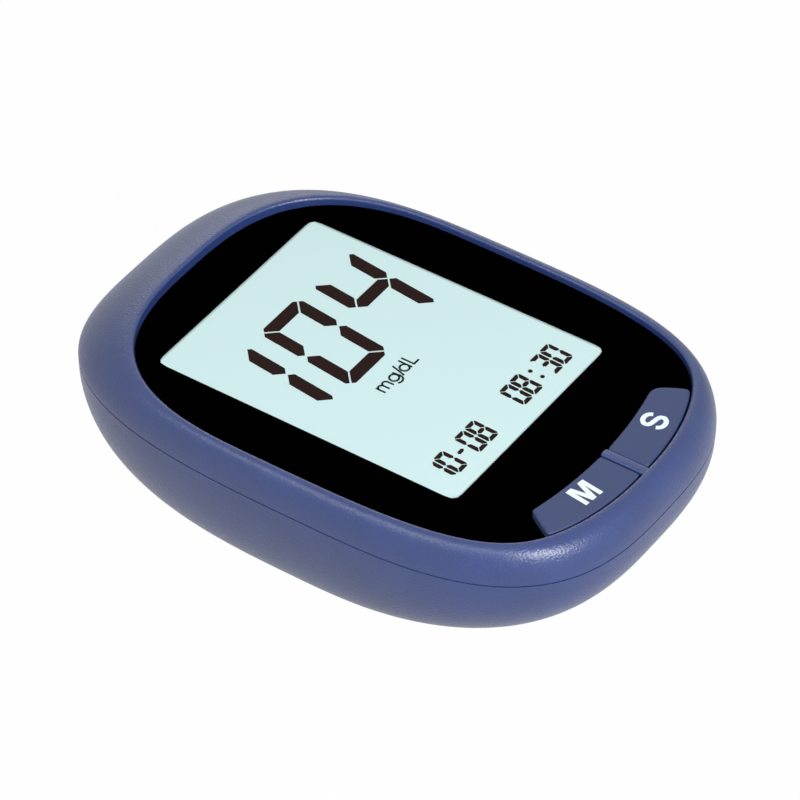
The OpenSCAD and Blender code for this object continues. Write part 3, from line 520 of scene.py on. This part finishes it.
def makeUpperCasing():
    u = upperCasing
    seamZ, ledgeLow, ledgeTop = casing["seamZ"], casing["ledgeLowZ"], casing["ledgeTopZ"]
    midZ = (seamZ + ledgeLow) / 2
    half, away, turn = u["grooveHalf"], u["grooveRound"], u["grooveTurn"]
    rings = [atHeight(insetLine(seamLine, u["grooveDepth"]), seamZ),
             atHeight(insetLine(seamLine, u["grooveDepth"]), seamZ + half),
             atHeight(insetLine(seamLine, away), seamZ + half),
             atHeight(insetLine(seamLine, turn), seamZ + half + turn)]
    rings += [rimRing(90 * j / u["rimSteps"]) for j in range(u["firstRimStep"], u["rimSteps"] + 1)]
    rings += [edgeRing(90 * j / u["edgeSteps"]) for j in range(1, u["edgeSteps"] + 1)]
    rings += [atHeight(recessLine, ledgeTop)]
    window = (0, u["windowMiddleY"]), *u["windowHalf"], u["windowCorner"]
    rings += [roundedRectRing(*window, ledgeTop), roundedRectRing(*window, ledgeLow)]
    rings += [atHeight(insetLine(rimLine(ledgeLow), casing["wall"]), ledgeLow),
              atHeight(insetLine(rimLine(midZ), casing["wall"]), midZ),
              atHeight(insetLine(seamLine, casing["wall"]), seamZ)]
    return ringSkin(rings, "upperCasing", closed=True)


def makeBar():
    middle = (0, (bar["nearY"] + bar["farY"]) / 2)
    halfLength = (bar["farY"] - bar["nearY"]) / 2
    rings = [roundedRectRing(middle, bar["half"], halfLength, bar["corner"], bar["footZ"])]
    for step in range(bar["edgeSteps"] + 1):
        w = math.radians(90 * step / bar["edgeSteps"])
        inwards = bar["edgeRound"] * (1 - math.cos(w))
        rings.append(roundedRectRing(middle, bar["half"] - inwards, halfLength - inwards,
                                     bar["corner"] - inwards,
                                     bar["topZ"] - bar["edgeRound"] * (1 - math.sin(w))))
    return ringSkin(rings, "bar")


def makeBosses(drop, caseRadius, boardRadius, caseTopZ, boardTopZ):
    u = upperCasing
    return [roundPieces(casePosts, caseRadius, u["bossLowZ"] - drop, caseTopZ),
            roundPieces(boardPosts, boardRadius, u["boardTopZ"] - drop, boardTopZ)]


def carveUpperCasing(piece):
    u = upperCasing
    slotZ = casing["ledgeLowZ"] - u["slotMargin"], casing["ledgeTopZ"] + u["slotMargin"]
    carve(piece, [keySlot(memoryCap, *slotZ), keySlot(setCap, *slotZ),
                  blockPiece(portNotch["low"], portNotch["high"])])
    carve(piece, makeBosses(0, u["bossRadius"], u["boardBossRadius"], u["bossTopZ"],
                            u["bossTopZ"]), "UNION")
    carve(piece, makeBosses(u["pilotStart"], u["pilotRadius"], u["boardPilotRadius"],
                            u["pilotTopZ"], u["boardPilotTopZ"]))
    carve(piece, [makeBar()], "UNION")


upper = makeUpperCasing()
print("upper casing skin", len(upper.data.polygons), "faces")
carveUpperCasing(upper)
finishPiece(upper, "casing", casingBlue)
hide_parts("upper_housing")
print("upper casing carved")

# lower casing: belly, lip, battery bay and screw posts
lowerCasing = {
    "bellySteps": 26, "innerSteps": 8, "coreSteps": 20, "coreInset": 0.5,
    "lipTopZ": 17.0, "lipInset": 1.95, "lipThickness": 1.0, "lipFootZ": 14.2, "lipStep": 0.02,
    "postRadius": 3.0, "postLowZ": 0.5, "postTopZ": 12.85, "headRadius": 2.1, "headTopZ": 7.9,
    "holeRadius": 1.1, "holeLowZ": 6.9, "boardHeadRadius": 1.7, "boardHeadLowZ": 12.8,
    "holeTopZ": 13.9,
    # battery bay walls, door seat, latch wall
    "blocks": [((-12.04, -25.2, 0.5), (12.04, 26.2, 13.6)),
               ((-14.94, -30.5, 0.5), (14.94, 32.2, 3.2)),
               ((-6.5, -30.5, 0.5), (6.5, -24.0, 7.2))],
    # bay, two hook pockets, latch pocket, catch pocket, two slots for contacts
    "pockets": [((-11.04, -24.0, belowZ), (11.04, 25.0, 12.6)),
                ((4.8, 24.79, 1.5), (9.2, 31.0, 3.71)), ((-9.2, 24.79, 1.5), (-4.8, 31.0, 3.71)),
                ((-4.4, -27.5, belowZ), (4.4, -25.18, 5.8)),
                ((-4.2, -29.0, 3.1), (4.2, -26.5, 4.5)),
                ((-6.79, -24.1, 11.6), (-4.19, -23.4, 14.6)),
                ((4.19, -24.1, 11.6), (6.79, -23.4, 14.6))],
    "doorRecess": {"half": 13.09, "nearY": -28.35, "farY": 28.55, "corner": 2.5, "topZ": 1.55},
}


def makeBelly(inset, name):
    base, top = insetLine(baseLine, inset), insetLine(seamLine, inset)
    steps = lowerCasing["coreSteps"]
    return ringSkin([bellyRing(base, top, inset, 90 * j / steps) for j in range(steps + 1)], name)


def makeLowerCasing():
    u, c = upperCasing, lowerCasing
    seamZ, steps = casing["seamZ"], c["bellySteps"]
    half, away, turn = u["grooveHalf"], u["grooveRound"], u["grooveTurn"]
    rings = [bellyRing(baseLine, seamLine, 0, 90 * j / steps) for j in range(steps - 1)]
    rings += [atHeight(insetLine(seamLine, turn), seamZ - half - turn),
              atHeight(insetLine(seamLine, away), seamZ - half),
              atHeight(insetLine(seamLine, u["grooveDepth"]), seamZ - half),
              atHeight(insetLine(seamLine, u["grooveDepth"]), seamZ),
              atHeight(insetLine(seamLine, casing["wall"] - c["lipStep"]), seamZ)]
    lip = rimLine(c["lipTopZ"])
    rings += [atHeight(insetLine(lip, c["lipInset"]), seamZ + c["lipStep"]),
              atHeight(insetLine(lip, c["lipInset"]), c["lipTopZ"])]
    inside = insetLine(lip, c["lipInset"] + c["lipThickness"])
    rings += [atHeight(inside, c["lipTopZ"]), atHeight(inside, c["lipFootZ"])]
    innerBase, innerTop = insetLine(baseLine, casing["wall"]), insetLine(seamLine, casing["wall"])
    rings += [bellyRing(innerBase, innerTop, casing["wall"], 90 * j / c["innerSteps"])
              for j in range(c["innerSteps"] - 2, -1, -1)]
    return ringSkin(rings, "lowerCasing")


def recessPrism(lowZ, highZ, shrink=0.0, name="cutter"):
    d = lowerCasing["doorRecess"]
    middle, halfLength = (0, (d["farY"] + d["nearY"]) / 2), (d["farY"] - d["nearY"]) / 2
    shape = middle, d["half"] - shrink, halfLength - shrink, d["corner"] - shrink
    return ringSkin([roundedRectRing(*shape, lowZ), roundedRectRing(*shape, highZ)], name)


def makeCore():
    # bay walls, seats and screw posts, cut to the belly's inside
    c = lowerCasing
    core = blockPiece(*c["blocks"][0])
    carve(core, [blockPiece(*block) for block in c["blocks"][1:]], "UNION")
    carve(core, [roundPieces(casePosts, c["postRadius"], c["postLowZ"], c["postTopZ"])], "UNION")
    return carve(core, [makeBelly(c["coreInset"], "innerBelly")], "INTERSECT")


def carveLowerCasing(piece):
    c = lowerCasing
    carve(piece, [makeCore()], "UNION")
    carve(piece, [recessPrism(belowZ, c["doorRecess"]["topZ"])])
    carve(piece, [blockPiece(*pocket) for pocket in c["pockets"]])
    carve(piece, [roundPieces(casePosts, c["headRadius"], belowZ, c["headTopZ"]),
                  roundPieces(casePosts, c["holeRadius"], c["holeLowZ"], c["holeTopZ"]),
                  roundPieces(boardPosts, c["boardHeadRadius"], c["boardHeadLowZ"], c["holeTopZ"]),
                  blockPiece(portNotch["low"], portNotch["high"])])


lower = makeLowerCasing()
print("lower casing skin", len(lower.data.polygons), "faces")
carveLowerCasing(lower)
finishPiece(lower, "casing", casingBlue)
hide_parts("lower_housing")
print("lower casing carved")

# strip port guide: flush with the casing, its slot flared a little at the mouth
portGuide = {"low": (-6.2, 40.2, 14.5), "high": (6.2, 46.0, 17.7), "steps": 30,
             "slotHalf": 3.6, "slotNearY": 39, "slot": (15.8, 16.8), "flare": 0.44,
             "flareY": 43.9, "flareSide": 0.2}


def makePortGuide():
    g, steps = portGuide, portGuide["steps"]
    guide = ringSkin([bellyRing(baseLine, seamLine, 0, 90 * j / steps) for j in range(steps)]
                     + [rimRing(90 * j / steps) for j in range(steps + 1)], "stripGuide")
    carve(guide, [blockPiece(g["low"], g["high"])], "INTERSECT")
    low, high = g["slot"]
    half, outY, sideX = g["slotHalf"], g["high"][1], g["slotHalf"] + g["flareSide"]
    mouth = [(g["flareY"], low), (outY, low - g["flare"]), (outY, high + g["flare"]),
             (g["flareY"], high)]
    return carve(guide, [blockPiece((-half, g["slotNearY"], low), (half, outY, high)),
                         profilePiece(mouth, -sideX, sideX)])


guide = finishPiece(makePortGuide(), "casing", casingBlue)
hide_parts("strip_guide")

# battery door with its hooks and grip grooves, and the latch tongue
doorShape = {
    "shrink": 0.15, "footZ": -0.5, "thickness": 1.5, "edgeRound": 0.2,
    "notchHalf": 4.3, "notchNearY": -29.5, "notchY": -25.1, "notchTopZ": 2,
    "grooves": 4, "grooveY": -20.2, "groovePitch": 1.6, "grooveWidth": 0.6,
    "grooveDepth": 0.35, "grooveHalf": 5.0, "grooveRound": 0.12,
    "hooks": [(5.0, 9.0), (-9.0, -5.0)],
    "hookProfile": [(27.0, 1.3), (28.2, 1.3), (28.2, 1.95), (30.6, 1.95), (30.6, 2.75),
                    (27.0, 2.75)],
}
latchShape = {
    "half": 4.0, "catchHalf": 3.6, "edgeRound": 0.12,
    "tongue": [(-26.5, 0.6), (-27.4, 0.6), (-27.4, 1.4), (-27.2, 1.4), (-27.2, 5.2), (-26.5, 5.2)],
    "catch": [(-27.0, 3.2), (-28.58, 3.2), (-28.58, 3.6), (-27.48, 4.2), (-27.0, 4.2)],
    "barReach": 4.29, "barY": (-27.15, -26.55), "barZ": (0.7, 1.35),
}


def softenEdges(piece, width, segments=2, angle=50):
    step = piece.modifiers.new("soften", "BEVEL")
    step.width = width
    step.segments = segments
    step.limit_method = "ANGLE"
    step.angle_limit = math.radians(angle)
    step.use_clamp_overlap = True
    applyModifiers(piece)
    return piece


def makeDoor():
    d = doorShape
    door = recessPrism(d["footZ"], d["thickness"], d["shrink"], "batteryDoor")
    carve(door, [makeBelly(0.0, "belly")], "INTERSECT")
    carve(door, [blockPiece((-d["notchHalf"], d["notchNearY"], belowZ),
                            (d["notchHalf"], d["notchY"], d["notchTopZ"]))])
    softenEdges(door, d["edgeRound"], 3)
    for j in range(d["grooves"]):
        y = d["grooveY"] + j * d["groovePitch"]
        carve(door, [blockPiece((-d["grooveHalf"], y, belowZ),
                                (d["grooveHalf"], y + d["grooveWidth"], d["grooveDepth"]),
                                bevelBy=d["grooveRound"])])
    return carve(door, [profilePiece(d["hookProfile"], *span) for span in d["hooks"]], "UNION")


def makeLatch():
    tongue = profilePiece(latchShape["tongue"], -latchShape["half"], latchShape["half"],
                          "doorLatch")
    carve(tongue, [profilePiece(latchShape["catch"], -latchShape["catchHalf"],
                                latchShape["catchHalf"])], "UNION")
    softenEdges(tongue, latchShape["edgeRound"])
    # the short bars it bends about, out to the sides of the door's notch
    (nearY, farY), (lowZ, highZ) = latchShape["barY"], latchShape["barZ"]
    reach = latchShape["barReach"]
    return carve(tongue, [blockPiece((-reach, nearY, lowZ), (reach, farY, highZ))], "UNION")


door = finishPiece(makeDoor(), "battery_cover", casingBlue)
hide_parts("battery_door")
latch = finishPiece(makeLatch(), "latch_tongue", casingBlue)
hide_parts("door_latch")
print("battery door made")

# lens and the display face under its window
lensShape = {"gap": 0.15, "lowZ": 19.1, "topZ": 20.3, "pocketZ": 20.15, "barGap": 0.1,
             "windowHalf": (18.7, 24.85), "windowMiddleY": 2.1, "windowCorner": 1.3,
             "margin": 1.0, "cutNearY": -43, "faceLow": 0.05, "faceHigh": 0.02, "shadowFade": 0.5}


def windowPrism(lowZ, highZ, name):
    window = (0, lensShape["windowMiddleY"]), *lensShape["windowHalf"], lensShape["windowCorner"]
    return ringSkin([roundedRectRing(*window, lowZ), roundedRectRing(*window, highZ)], name)


def makeLens():
    outline = insetLine(recessLine, lensShape["gap"])
    lens = ringSkin([atHeight(outline, lensShape["lowZ"]), atHeight(outline, lensShape["topZ"])],
                    "displayLens")
    low, high = lensShape["lowZ"] - lensShape["margin"], lensShape["topZ"] + lensShape["margin"]
    reach = bar["half"] + lensShape["barGap"]
    carve(lens, [keySlot(memoryCap, low, high), keySlot(setCap, low, high),
                 blockPiece((-reach, lensShape["cutNearY"], low),
                            (reach, bar["farY"] + lensShape["barGap"], high))])
    return carve(lens, [windowPrism(lensShape["pocketZ"], high, "pocket")])


lens = finishPiece(makeLens(), "casing", lensBlack)
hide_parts("display_lens", "lens_mask")
pocketZ = lensShape["pocketZ"]
windowEdgeX = lensShape["windowHalf"][0]
windowEdgeY = lensShape["windowMiddleY"] + lensShape["windowHalf"][1]
displayPale = displayFilmPaintedShadow("displayPale", linear(207, 234, 234), windowEdgeY * mm,
                          windowEdgeX * mm, lensShape["shadowFade"] * mm)
finishPiece(windowPrism(pocketZ - lensShape["faceLow"], pocketZ + lensShape["faceHigh"],
                        "displayFace"), "casing", displayPale)

# lit bars of each digit: top, top right, low right, bottom, low left, top left, middle
digitBars = {0: "1111110", 1: "0110000", 3: "1111001", 4: "0110011", 8: "1111111"}
bigDigits = {"height": 17.01, "width": 9.25, "stroke": 2.08, "gap": 0.2, "lean": 0.112,
             "midGap": 0.2, "midInset": 0.0, "y": 1.81,
             "places": [(-20.03, 1), (-7.67, 0), (4.69, 4)]}
smallDigits = {"height": 4.5, "width": 2.3, "stroke": 0.66, "gap": 0.1, "lean": 0.045,
               "midGap": 0.03, "midInset": 0.12}
dateDigits = {**smallDigits, "y": -20.1,
              "places": [(-16.33, 1), (-13.8, 0), (-8.8, 0), (-6.27, 8)]}
timeDigits = {**smallDigits, "y": -19.88,
              "places": [(2.61, 0), (5.15, 8), (10.22, 3), (12.75, 0)]}
dateDash = [(-10.72, -17.83), (-10.46, -18.11), (-9.68, -18.11), (-9.38, -17.83),
            (-9.62, -17.53), (-10.42, -17.53)]
timeColon = {"radius": 0.33, "places": [(9.0, -18.61), (9.0, -16.61)]}
digitShares = {"mid": 0.52, "corner": 0.45, "point": 0.36}   # of the height and the stroke
segmentZ = pocketZ + 0.01, pocketZ + 0.06


def digitBar(row, which):
    # outline of one bar in the digit's own square, mitred at corners, pointed mid ends
    h, w, t, g = row["height"], row["width"], row["stroke"], row["gap"]
    mid, k = h * digitShares["mid"], row["midGap"]
    c, j = t * digitShares["corner"], t * digitShares["point"]
    top = [(t + g, h - t), (c / 2 + g, h - c / 2), (c + g, h),
           (w - c - g, h), (w - c / 2 - g, h - c / 2), (w - t - g, h - t)]
    highLeft = [(0, h - c - g), (c / 2, h - c / 2 - g), (t, h - t - g),
                (t, mid + t - j + k), (j, mid + k), (0, mid + j + k)]
    lowLeft = [(0, c + g), (c / 2, c / 2 + g), (t, t + g),
               (t, mid - t + j - k), (j, mid - k), (0, mid - j - k)]
    start = j + g + row["midInset"]
    reach = start + t / 2
    middle = [(start, mid), (reach, mid + t / 2), (w - reach, mid + t / 2),
              (w - start, mid), (w - reach, mid - t / 2), (reach, mid - t / 2)]
    flipX = lambda points: [(w - x, y) for x, y in points]
    flipY = lambda points: [(x, h - y) for x, y in points]
    return [top, flipX(highLeft), flipX(lowLeft), flipY(top), lowLeft, highLeft, middle][which]


def raisedFace(bm, points, low, high):
    face = bm.faces.new([bm.verts.new((x, y, low)) for x, y in points])
    grown = bmesh.ops.extrude_face_region(bm, geom=[face])["geom"]
    bmesh.ops.translate(bm, vec=(0, 0, high - low),
                        verts=[g for g in grown if isinstance(g, bmesh.types.BMVert)])


def makeDigits():
    bm = bmesh.new()
    low, high = segmentZ
    for row in (bigDigits, dateDigits, timeDigits):
        for x0, number in row["places"]:
            for which, lit in enumerate(digitBars[number]):
                if lit == "1":
                    raisedFace(bm, [(x0 + x + row["lean"] * y, row["y"] + y)
                                    for x, y in digitBar(row, which)], low, high)
    raisedFace(bm, dateDash, low, high)
    for x, y in timeColon["places"]:
        bmesh.ops.create_cone(bm, cap_ends=True, segments=24, radius1=timeColon["radius"],
                              radius2=timeColon["radius"], depth=high - low,
                              matrix=Matrix.Translation((x, y, (low + high) / 2)))
    bmesh.ops.recalc_face_normals(bm, faces=bm.faces)
    return newPiece(bm, "displayDigits")


digits = finishPiece(makeDigits(), "casing", segmentInk)
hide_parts("display_segments")


def turnAndPlace(piece, turn, place):
    piece.data.transform(Matrix.Translation((*place, 0))
                         @ Matrix.Rotation(math.radians(turn), 4, "Z"))
    return piece


def strokePiece(name, paths, width, turn, place, low, high):
    # strokes of one width along centre lines, turned and placed in the plane
    bm = bmesh.new()
    for path in paths:
        closed = path[0] == path[-1]
        spots = [bm.verts.new((x, y, low)) for x, y in (path[:-1] if closed else path)]
        edges = [bm.edges.new(pair) for pair in zip(spots, spots[1:] + spots[:1] * closed)]
        grown = bmesh.ops.extrude_edge_only(bm, edges=edges)["geom"]
        bmesh.ops.translate(bm, vec=(0, 0, high - low),
                            verts=[g for g in grown if isinstance(g, bmesh.types.BMVert)])
    piece = newPiece(bm, name)
    step = piece.modifiers.new("stroke", "SOLIDIFY")
    step.thickness = width
    step.offset = 0
    step.use_even_offset = True
    applyModifiers(piece)
    return turnAndPlace(piece, turn, place)


def loopPath(x, y, reachX, reachY, fromAngle=0, toAngle=360, steps=28):
    angles = [math.radians(fromAngle + (toAngle - fromAngle) * i / steps)
              for i in range(steps + 1)]
    path = [(x + reachX * math.cos(w), y + reachY * math.sin(w)) for w in angles]
    return path[:-1] + [path[0]] if abs(toAngle - fromAngle) == 360 else path


# unit lettering: legs, bowls and stems in millimetres from the first leg's foot
unitWord = {
    "place": (-5.97, -2.7), "stroke": 0.28,
    "paths": [[(0, 0), (0, 1.6)],
              [(0, 0.9)] + loopPath(0.5, 1.0, 0.5, 0.5, 180, 0, 14) + [(1.0, 0)],
              [(1.0, 0.9)] + loopPath(1.5, 1.0, 0.5, 0.5, 180, 0, 14) + [(2.0, 0)],
              loopPath(3.22, 0.78, 0.7, 0.7),
              [(3.95, 1.6), (3.95, 0.0)] + loopPath(3.25, 0.0, 0.7, 0.52, 0, -150, 14),
              [(4.44, -0.05), (5.08, 2.3)],
              loopPath(5.76, 0.78, 0.7, 0.7),
              [(6.46, 0), (6.46, 2.3)],
              [(7.16, 2.3), (7.16, 0.13), (8.32, 0.13)]],
}
memoryMark = {
    "place": (-8.34, -36.55), "turn": -7.7,
    "outline": [(-1.76, -1.83), (-1.05, -1.83), (-1.05, 0.9), (-0.41, -1.83), (0.41, -1.83),
                (1.05, 0.9), (1.05, -1.83), (1.76, -1.83), (1.76, 1.83), (0.66, 1.83),
                (0, -0.35), (-0.66, 1.83), (-1.76, 1.83)],
}
setMark = {
    "place": (9.04, -36.72), "turn": 7.6, "stroke": 0.70,
    "half": [(1.14, 0.70), (1.06, 0.93), (0.92, 1.16), (0.72, 1.37), (0.42, 1.53), (0.05, 1.6),
             (-0.3, 1.59), (-0.62, 1.49), (-0.93, 1.27), (-1.1, 1.05), (-1.14, 0.82),
             (-1.05, 0.5), (-0.86, 0.3), (-0.55, 0.16)],
}
markZ = keyCap["topZ"] - 0.03, keyCap["topZ"] + 0.012


def makeMemoryMark():
    bm = bmesh.new()
    raisedFace(bm, memoryMark["outline"], *markZ)
    bmesh.ops.recalc_face_normals(bm, faces=bm.faces)
    return turnAndPlace(newPiece(bm, "memoryMark"), memoryMark["turn"], memoryMark["place"])


finishPiece(strokePiece("unitText", unitWord["paths"], unitWord["stroke"], 0,
                        unitWord["place"], *segmentZ), "casing", wordInk)
finishPiece(makeMemoryMark(), "memory_button", legendInk)
setPath = setMark["half"] + [(-x, -y) for x, y in reversed(setMark["half"])]
finishPiece(strokePiece("setMark", [setPath], setMark["stroke"], setMark["turn"],
                        setMark["place"], *markZ), "set_button", legendInk)
print("lens and display made")

# finishes for the frame's own nodes that stay
def sleevedCell(name, colour, negativeY, positiveY):
    # printed sleeve between bare metal ends, with one pale ring by the positive end
    material, tree, shader, coords = newMaterial(name)
    parts = tree.nodes.new("ShaderNodeSeparateXYZ")
    tree.links.new(coords, parts.inputs["Vector"])
    along = rangeFrom(tree, parts.outputs["Y"], 0, 1, negativeY, positiveY)
    steel, ring = linear(190, 190, 192), linear(214, 216, 210)
    places = (0, 0.02, 0.80, 0.83, 0.955)
    tree.links.new(rampFrom(tree, along, list(zip(places, (steel, colour, ring, colour, steel))),
                            "CONSTANT"), shader.inputs["Base Color"])
    tree.links.new(rampFrom(tree, along, list(zip(places, ((1,) * 3, (0,) * 3, (0,) * 3, (0,) * 3,
                                                           (1,) * 3))), "CONSTANT"),
                   shader.inputs["Metallic"])
    film = noiseFrom(tree, coords, 1.5 * mm, 3)
    tree.links.new(rangeFrom(tree, film, 0.22, 0.36), shader.inputs["Roughness"])
    tree.links.new(bumpFrom(tree, film, 0.4, 0.02 * mm), shader.inputs["Normal"])
    return material


def tracedBoard(name, colour):
    # green mask over a grid of copper runs
    material, tree, shader, coords = newMaterial(name)
    runs = tree.nodes.new("ShaderNodeTexBrick")
    tree.links.new(coords, runs.inputs["Vector"])
    for socket, value in {"Color1": (*colour, 1), "Color2": (*scaled(colour, 0.86), 1),
                          "Mortar": (*scaled(colour, 1.7), 1), "Scale": 1 / mm,
                          "Mortar Size": 0.11, "Mortar Smooth": 0.2, "Brick Width": 5.2,
                          "Row Height": 0.85}.items():
        runs.inputs[socket].default_value = value
    tree.links.new(runs.outputs["Color"], shader.inputs["Base Color"])
    weave = noiseFrom(tree, coords, 0.3 * mm, 2)
    tree.links.new(rangeFrom(tree, weave, 0.28, 0.4), shader.inputs["Roughness"])
    tree.links.new(bumpFrom(tree, runs.outputs["Fac"], 0.6, 0.02 * mm,
                            bumpFrom(tree, weave, 0.3, 0.01 * mm)), shader.inputs["Normal"])
    return material


def bandedRubber(name, colour, dark, pitch):
    # carbon layers through pale silicone, side by side along X
    material, tree, shader, coords = newMaterial(name)
    layers = tree.nodes.new("ShaderNodeTexWave")
    layers.inputs["Scale"].default_value = math.tau / 20 / pitch
    tree.links.new(coords, layers.inputs["Vector"])
    tree.links.new(rampFrom(tree, layers.outputs["Fac"], [(0.45, colour), (0.55, dark)]),
                   shader.inputs["Base Color"])
    tree.links.new(rangeFrom(tree, noiseFrom(tree, coords, 0.4 * mm, 2), 0.55, 0.7),
                   shader.inputs["Roughness"])
    return material


boardGreen = tracedBoard("boardGreen", linear(30, 84, 48))
partBlack = mouldedPlastic("partBlack", linear(26, 27, 30), 0.5)
frameWhite = mouldedPlastic("frameWhite", linear(228, 228, 222), 0.5)
filmPale = mouldedPlastic("filmPale", linear(200, 228, 226), 0.4)
glassPale = mouldedPlastic("glassPale", linear(214, 230, 228), 0.2, grainHeight=0.001 * mm)
stripRubber = bandedRubber("stripRubber", linear(224, 182, 176), linear(44, 38, 40), 0.36 * mm)
plungerCream = mouldedPlastic("plungerCream", linear(214, 205, 172), 0.5)
ceramicTan = mouldedPlastic("ceramicTan", linear(182, 154, 108), 0.5)
cellLeft = sleevedCell("cellLeft", linear(52, 74, 78), -20.2 * mm, 24.3 * mm)
cellRight = sleevedCell("cellRight", linear(52, 74, 78), 21.2 * mm, -23.3 * mm)
contactGold = platedMetal("contactGold", linear(212, 175, 90), 0.28)
tinnedMetal = platedMetal("tinnedMetal", linear(196, 198, 200), 0.35)
springSteel = platedMetal("springSteel", linear(188, 190, 194), 0.28)
screwSteel = platedMetal("screwSteel", linear(178, 180, 184), 0.3)
nodeFinishes = {
    "front_polarizer": filmPale,
    "front_glass": glassPale, "rear_glass": glassPale, "rear_reflector": filmPale,
    "display_frame": frameWhite, "contact_strip_far": stripRubber,
    "contact_strip_near": stripRubber, "circuit_board": boardGreen, "memory_switch": partBlack,
    "set_switch": partBlack, "memory_plunger": plungerCream, "set_plunger": plungerCream,
    "strip_connector": partBlack, "strip_contacts": contactGold,
    "controller_chip": partBlack, "memory_chip": partBlack, "chip_leads": tinnedMetal,
    "clock_crystal": tinnedMetal, "capacitors": ceramicTan, "resistors": partBlack,
    "buzzer": partBlack, "battery_left": cellLeft, "battery_right": cellRight,
    "battery_springs": springSteel, "link_plate": tinnedMetal, "positive_contact": tinnedMetal,
    "negative_contact": tinnedMetal, "case_screws": screwSteel, "board_screws": screwSteel,
}
for name, material in nodeFinishes.items():
    for holder in nodes[name].material_slots:
        holder.material = material
print("frame nodes dressed")

# camera at the photograph's angle
view = {"place": (-0.41899, -0.28543, 0.46778), "right": (0.56364, -0.82602, 0.00274),
        "up": (0.55039, 0.37803, 0.74442), "back": (-0.61594, -0.41808, 0.66770),
        "lens": 220.4, "sensor": 36.0}
lensData = bpy.data.cameras.new("camera")
lensData.lens = view["lens"]
lensData.sensor_width = view["sensor"]
lensData.clip_start = 0.01
camera = bpy.data.objects.new("camera", lensData)
bpy.context.scene.collection.objects.link(camera)
camera.matrix_world = (Matrix.Translation(view["place"])
                       @ Matrix((view["right"], view["up"], view["back"])).transposed().to_4x4())
bpy.context.scene.camera = camera

# floor and world show plain white; only their light on the meter is dimmer
stage = {"floorHalf": 2, "floorZ": -0.0002, "floorShade": 0.5, "floorGlow": 0.985,
         "horizon": 0.16, "zenith": 0.36}
lamps = {
    "sideLamp": {"place": (-0.52, 0.10, 0.56), "size": (0.80, 0.32), "power": 2.3},
    "nearLamp": {"place": (-0.27, -0.56, 0.33), "size": (0.32, 0.26), "power": 5.0},
    "farLamp": {"place": (0.62, 0.48, 0.30), "size": (0.50, 0.40), "power": 0.95},
}


def seenDirectly(tree):
    # 1 for rays from the camera or off a glossy or clear surface
    path = tree.nodes.new("ShaderNodeLightPath")
    seen = path.outputs["Is Camera Ray"]
    for ray in ("Is Glossy Ray", "Is Transmission Ray"):
        either = tree.nodes.new("ShaderNodeMath")
        either.operation = "MAXIMUM"
        tree.links.new(seen, either.inputs[0])
        tree.links.new(path.outputs[ray], either.inputs[1])
        seen = either.outputs[0]
    return seen


def mixShaders(tree, share, first, second, output):
    mix = tree.nodes.new("ShaderNodeMixShader")
    tree.links.new(share, mix.inputs["Fac"])
    tree.links.new(first.outputs[0], mix.inputs[1])
    tree.links.new(second.outputs[0], mix.inputs[2])
    tree.links.new(mix.outputs[0], tree.nodes[output].inputs["Surface"])


floorBuild = bmesh.new()
bmesh.ops.create_grid(floorBuild, x_segments=1, y_segments=1, size=stage["floorHalf"])
bmesh.ops.translate(floorBuild, vec=(0, 0, stage["floorZ"]), verts=floorBuild.verts)
floor = newPiece(floorBuild, "floor")
floorWhite, floorTree, floorShader, _ = newMaterial("floorWhite")
floorShader.inputs["Base Color"].default_value = (stage["floorShade"],) * 3 + (1,)
floorShader.inputs["Roughness"].default_value = 0.9
floorShader.inputs["Specular IOR Level"].default_value = 0
glow = floorTree.nodes.new("ShaderNodeEmission")
glowShare = rangeFrom(floorTree, seenDirectly(floorTree), 0, stage["floorGlow"], 0, 1)
mixShaders(floorTree, glowShare, floorShader, glow, "Material Output")
floor.data.materials.append(floorWhite)

world = bpy.data.worlds.new("studio")
bpy.context.scene.world = world
world.use_nodes = True
sky = world.node_tree
ambient = sky.nodes["Background"]
ambient.inputs["Color"].default_value = (1, 1, 1, 1)
skyWay = sky.nodes.new("ShaderNodeTexCoord")
skyParts = sky.nodes.new("ShaderNodeSeparateXYZ")
sky.links.new(skyWay.outputs["Generated"], skyParts.inputs["Vector"])
skyShade = rangeFrom(sky, skyParts.outputs["Z"], stage["horizon"], stage["zenith"], 0, 1)
sky.links.new(skyShade, ambient.inputs["Strength"])
backdrop = sky.nodes.new("ShaderNodeBackground")
backdrop.inputs["Color"].default_value = (1, 1, 1, 1)
mixShaders(sky, seenDirectly(sky), ambient, backdrop, "World Output")

for name, lamp in lamps.items():
    data = bpy.data.lights.new(name, "AREA")
    data.shape = "RECTANGLE"
    data.size, data.size_y = lamp["size"]
    data.energy = lamp["power"]
    holder = bpy.data.objects.new(name, data)
    bpy.context.scene.collection.objects.link(holder)
    way = Vector(lamp["place"]).normalized()
    holder.matrix_world = (Matrix.Translation(lamp["place"])
                           @ way.to_track_quat("Z", "Y").to_matrix().to_4x4())
print("stage set")

bpy.context.scene.view_settings.view_transform = "Standard"
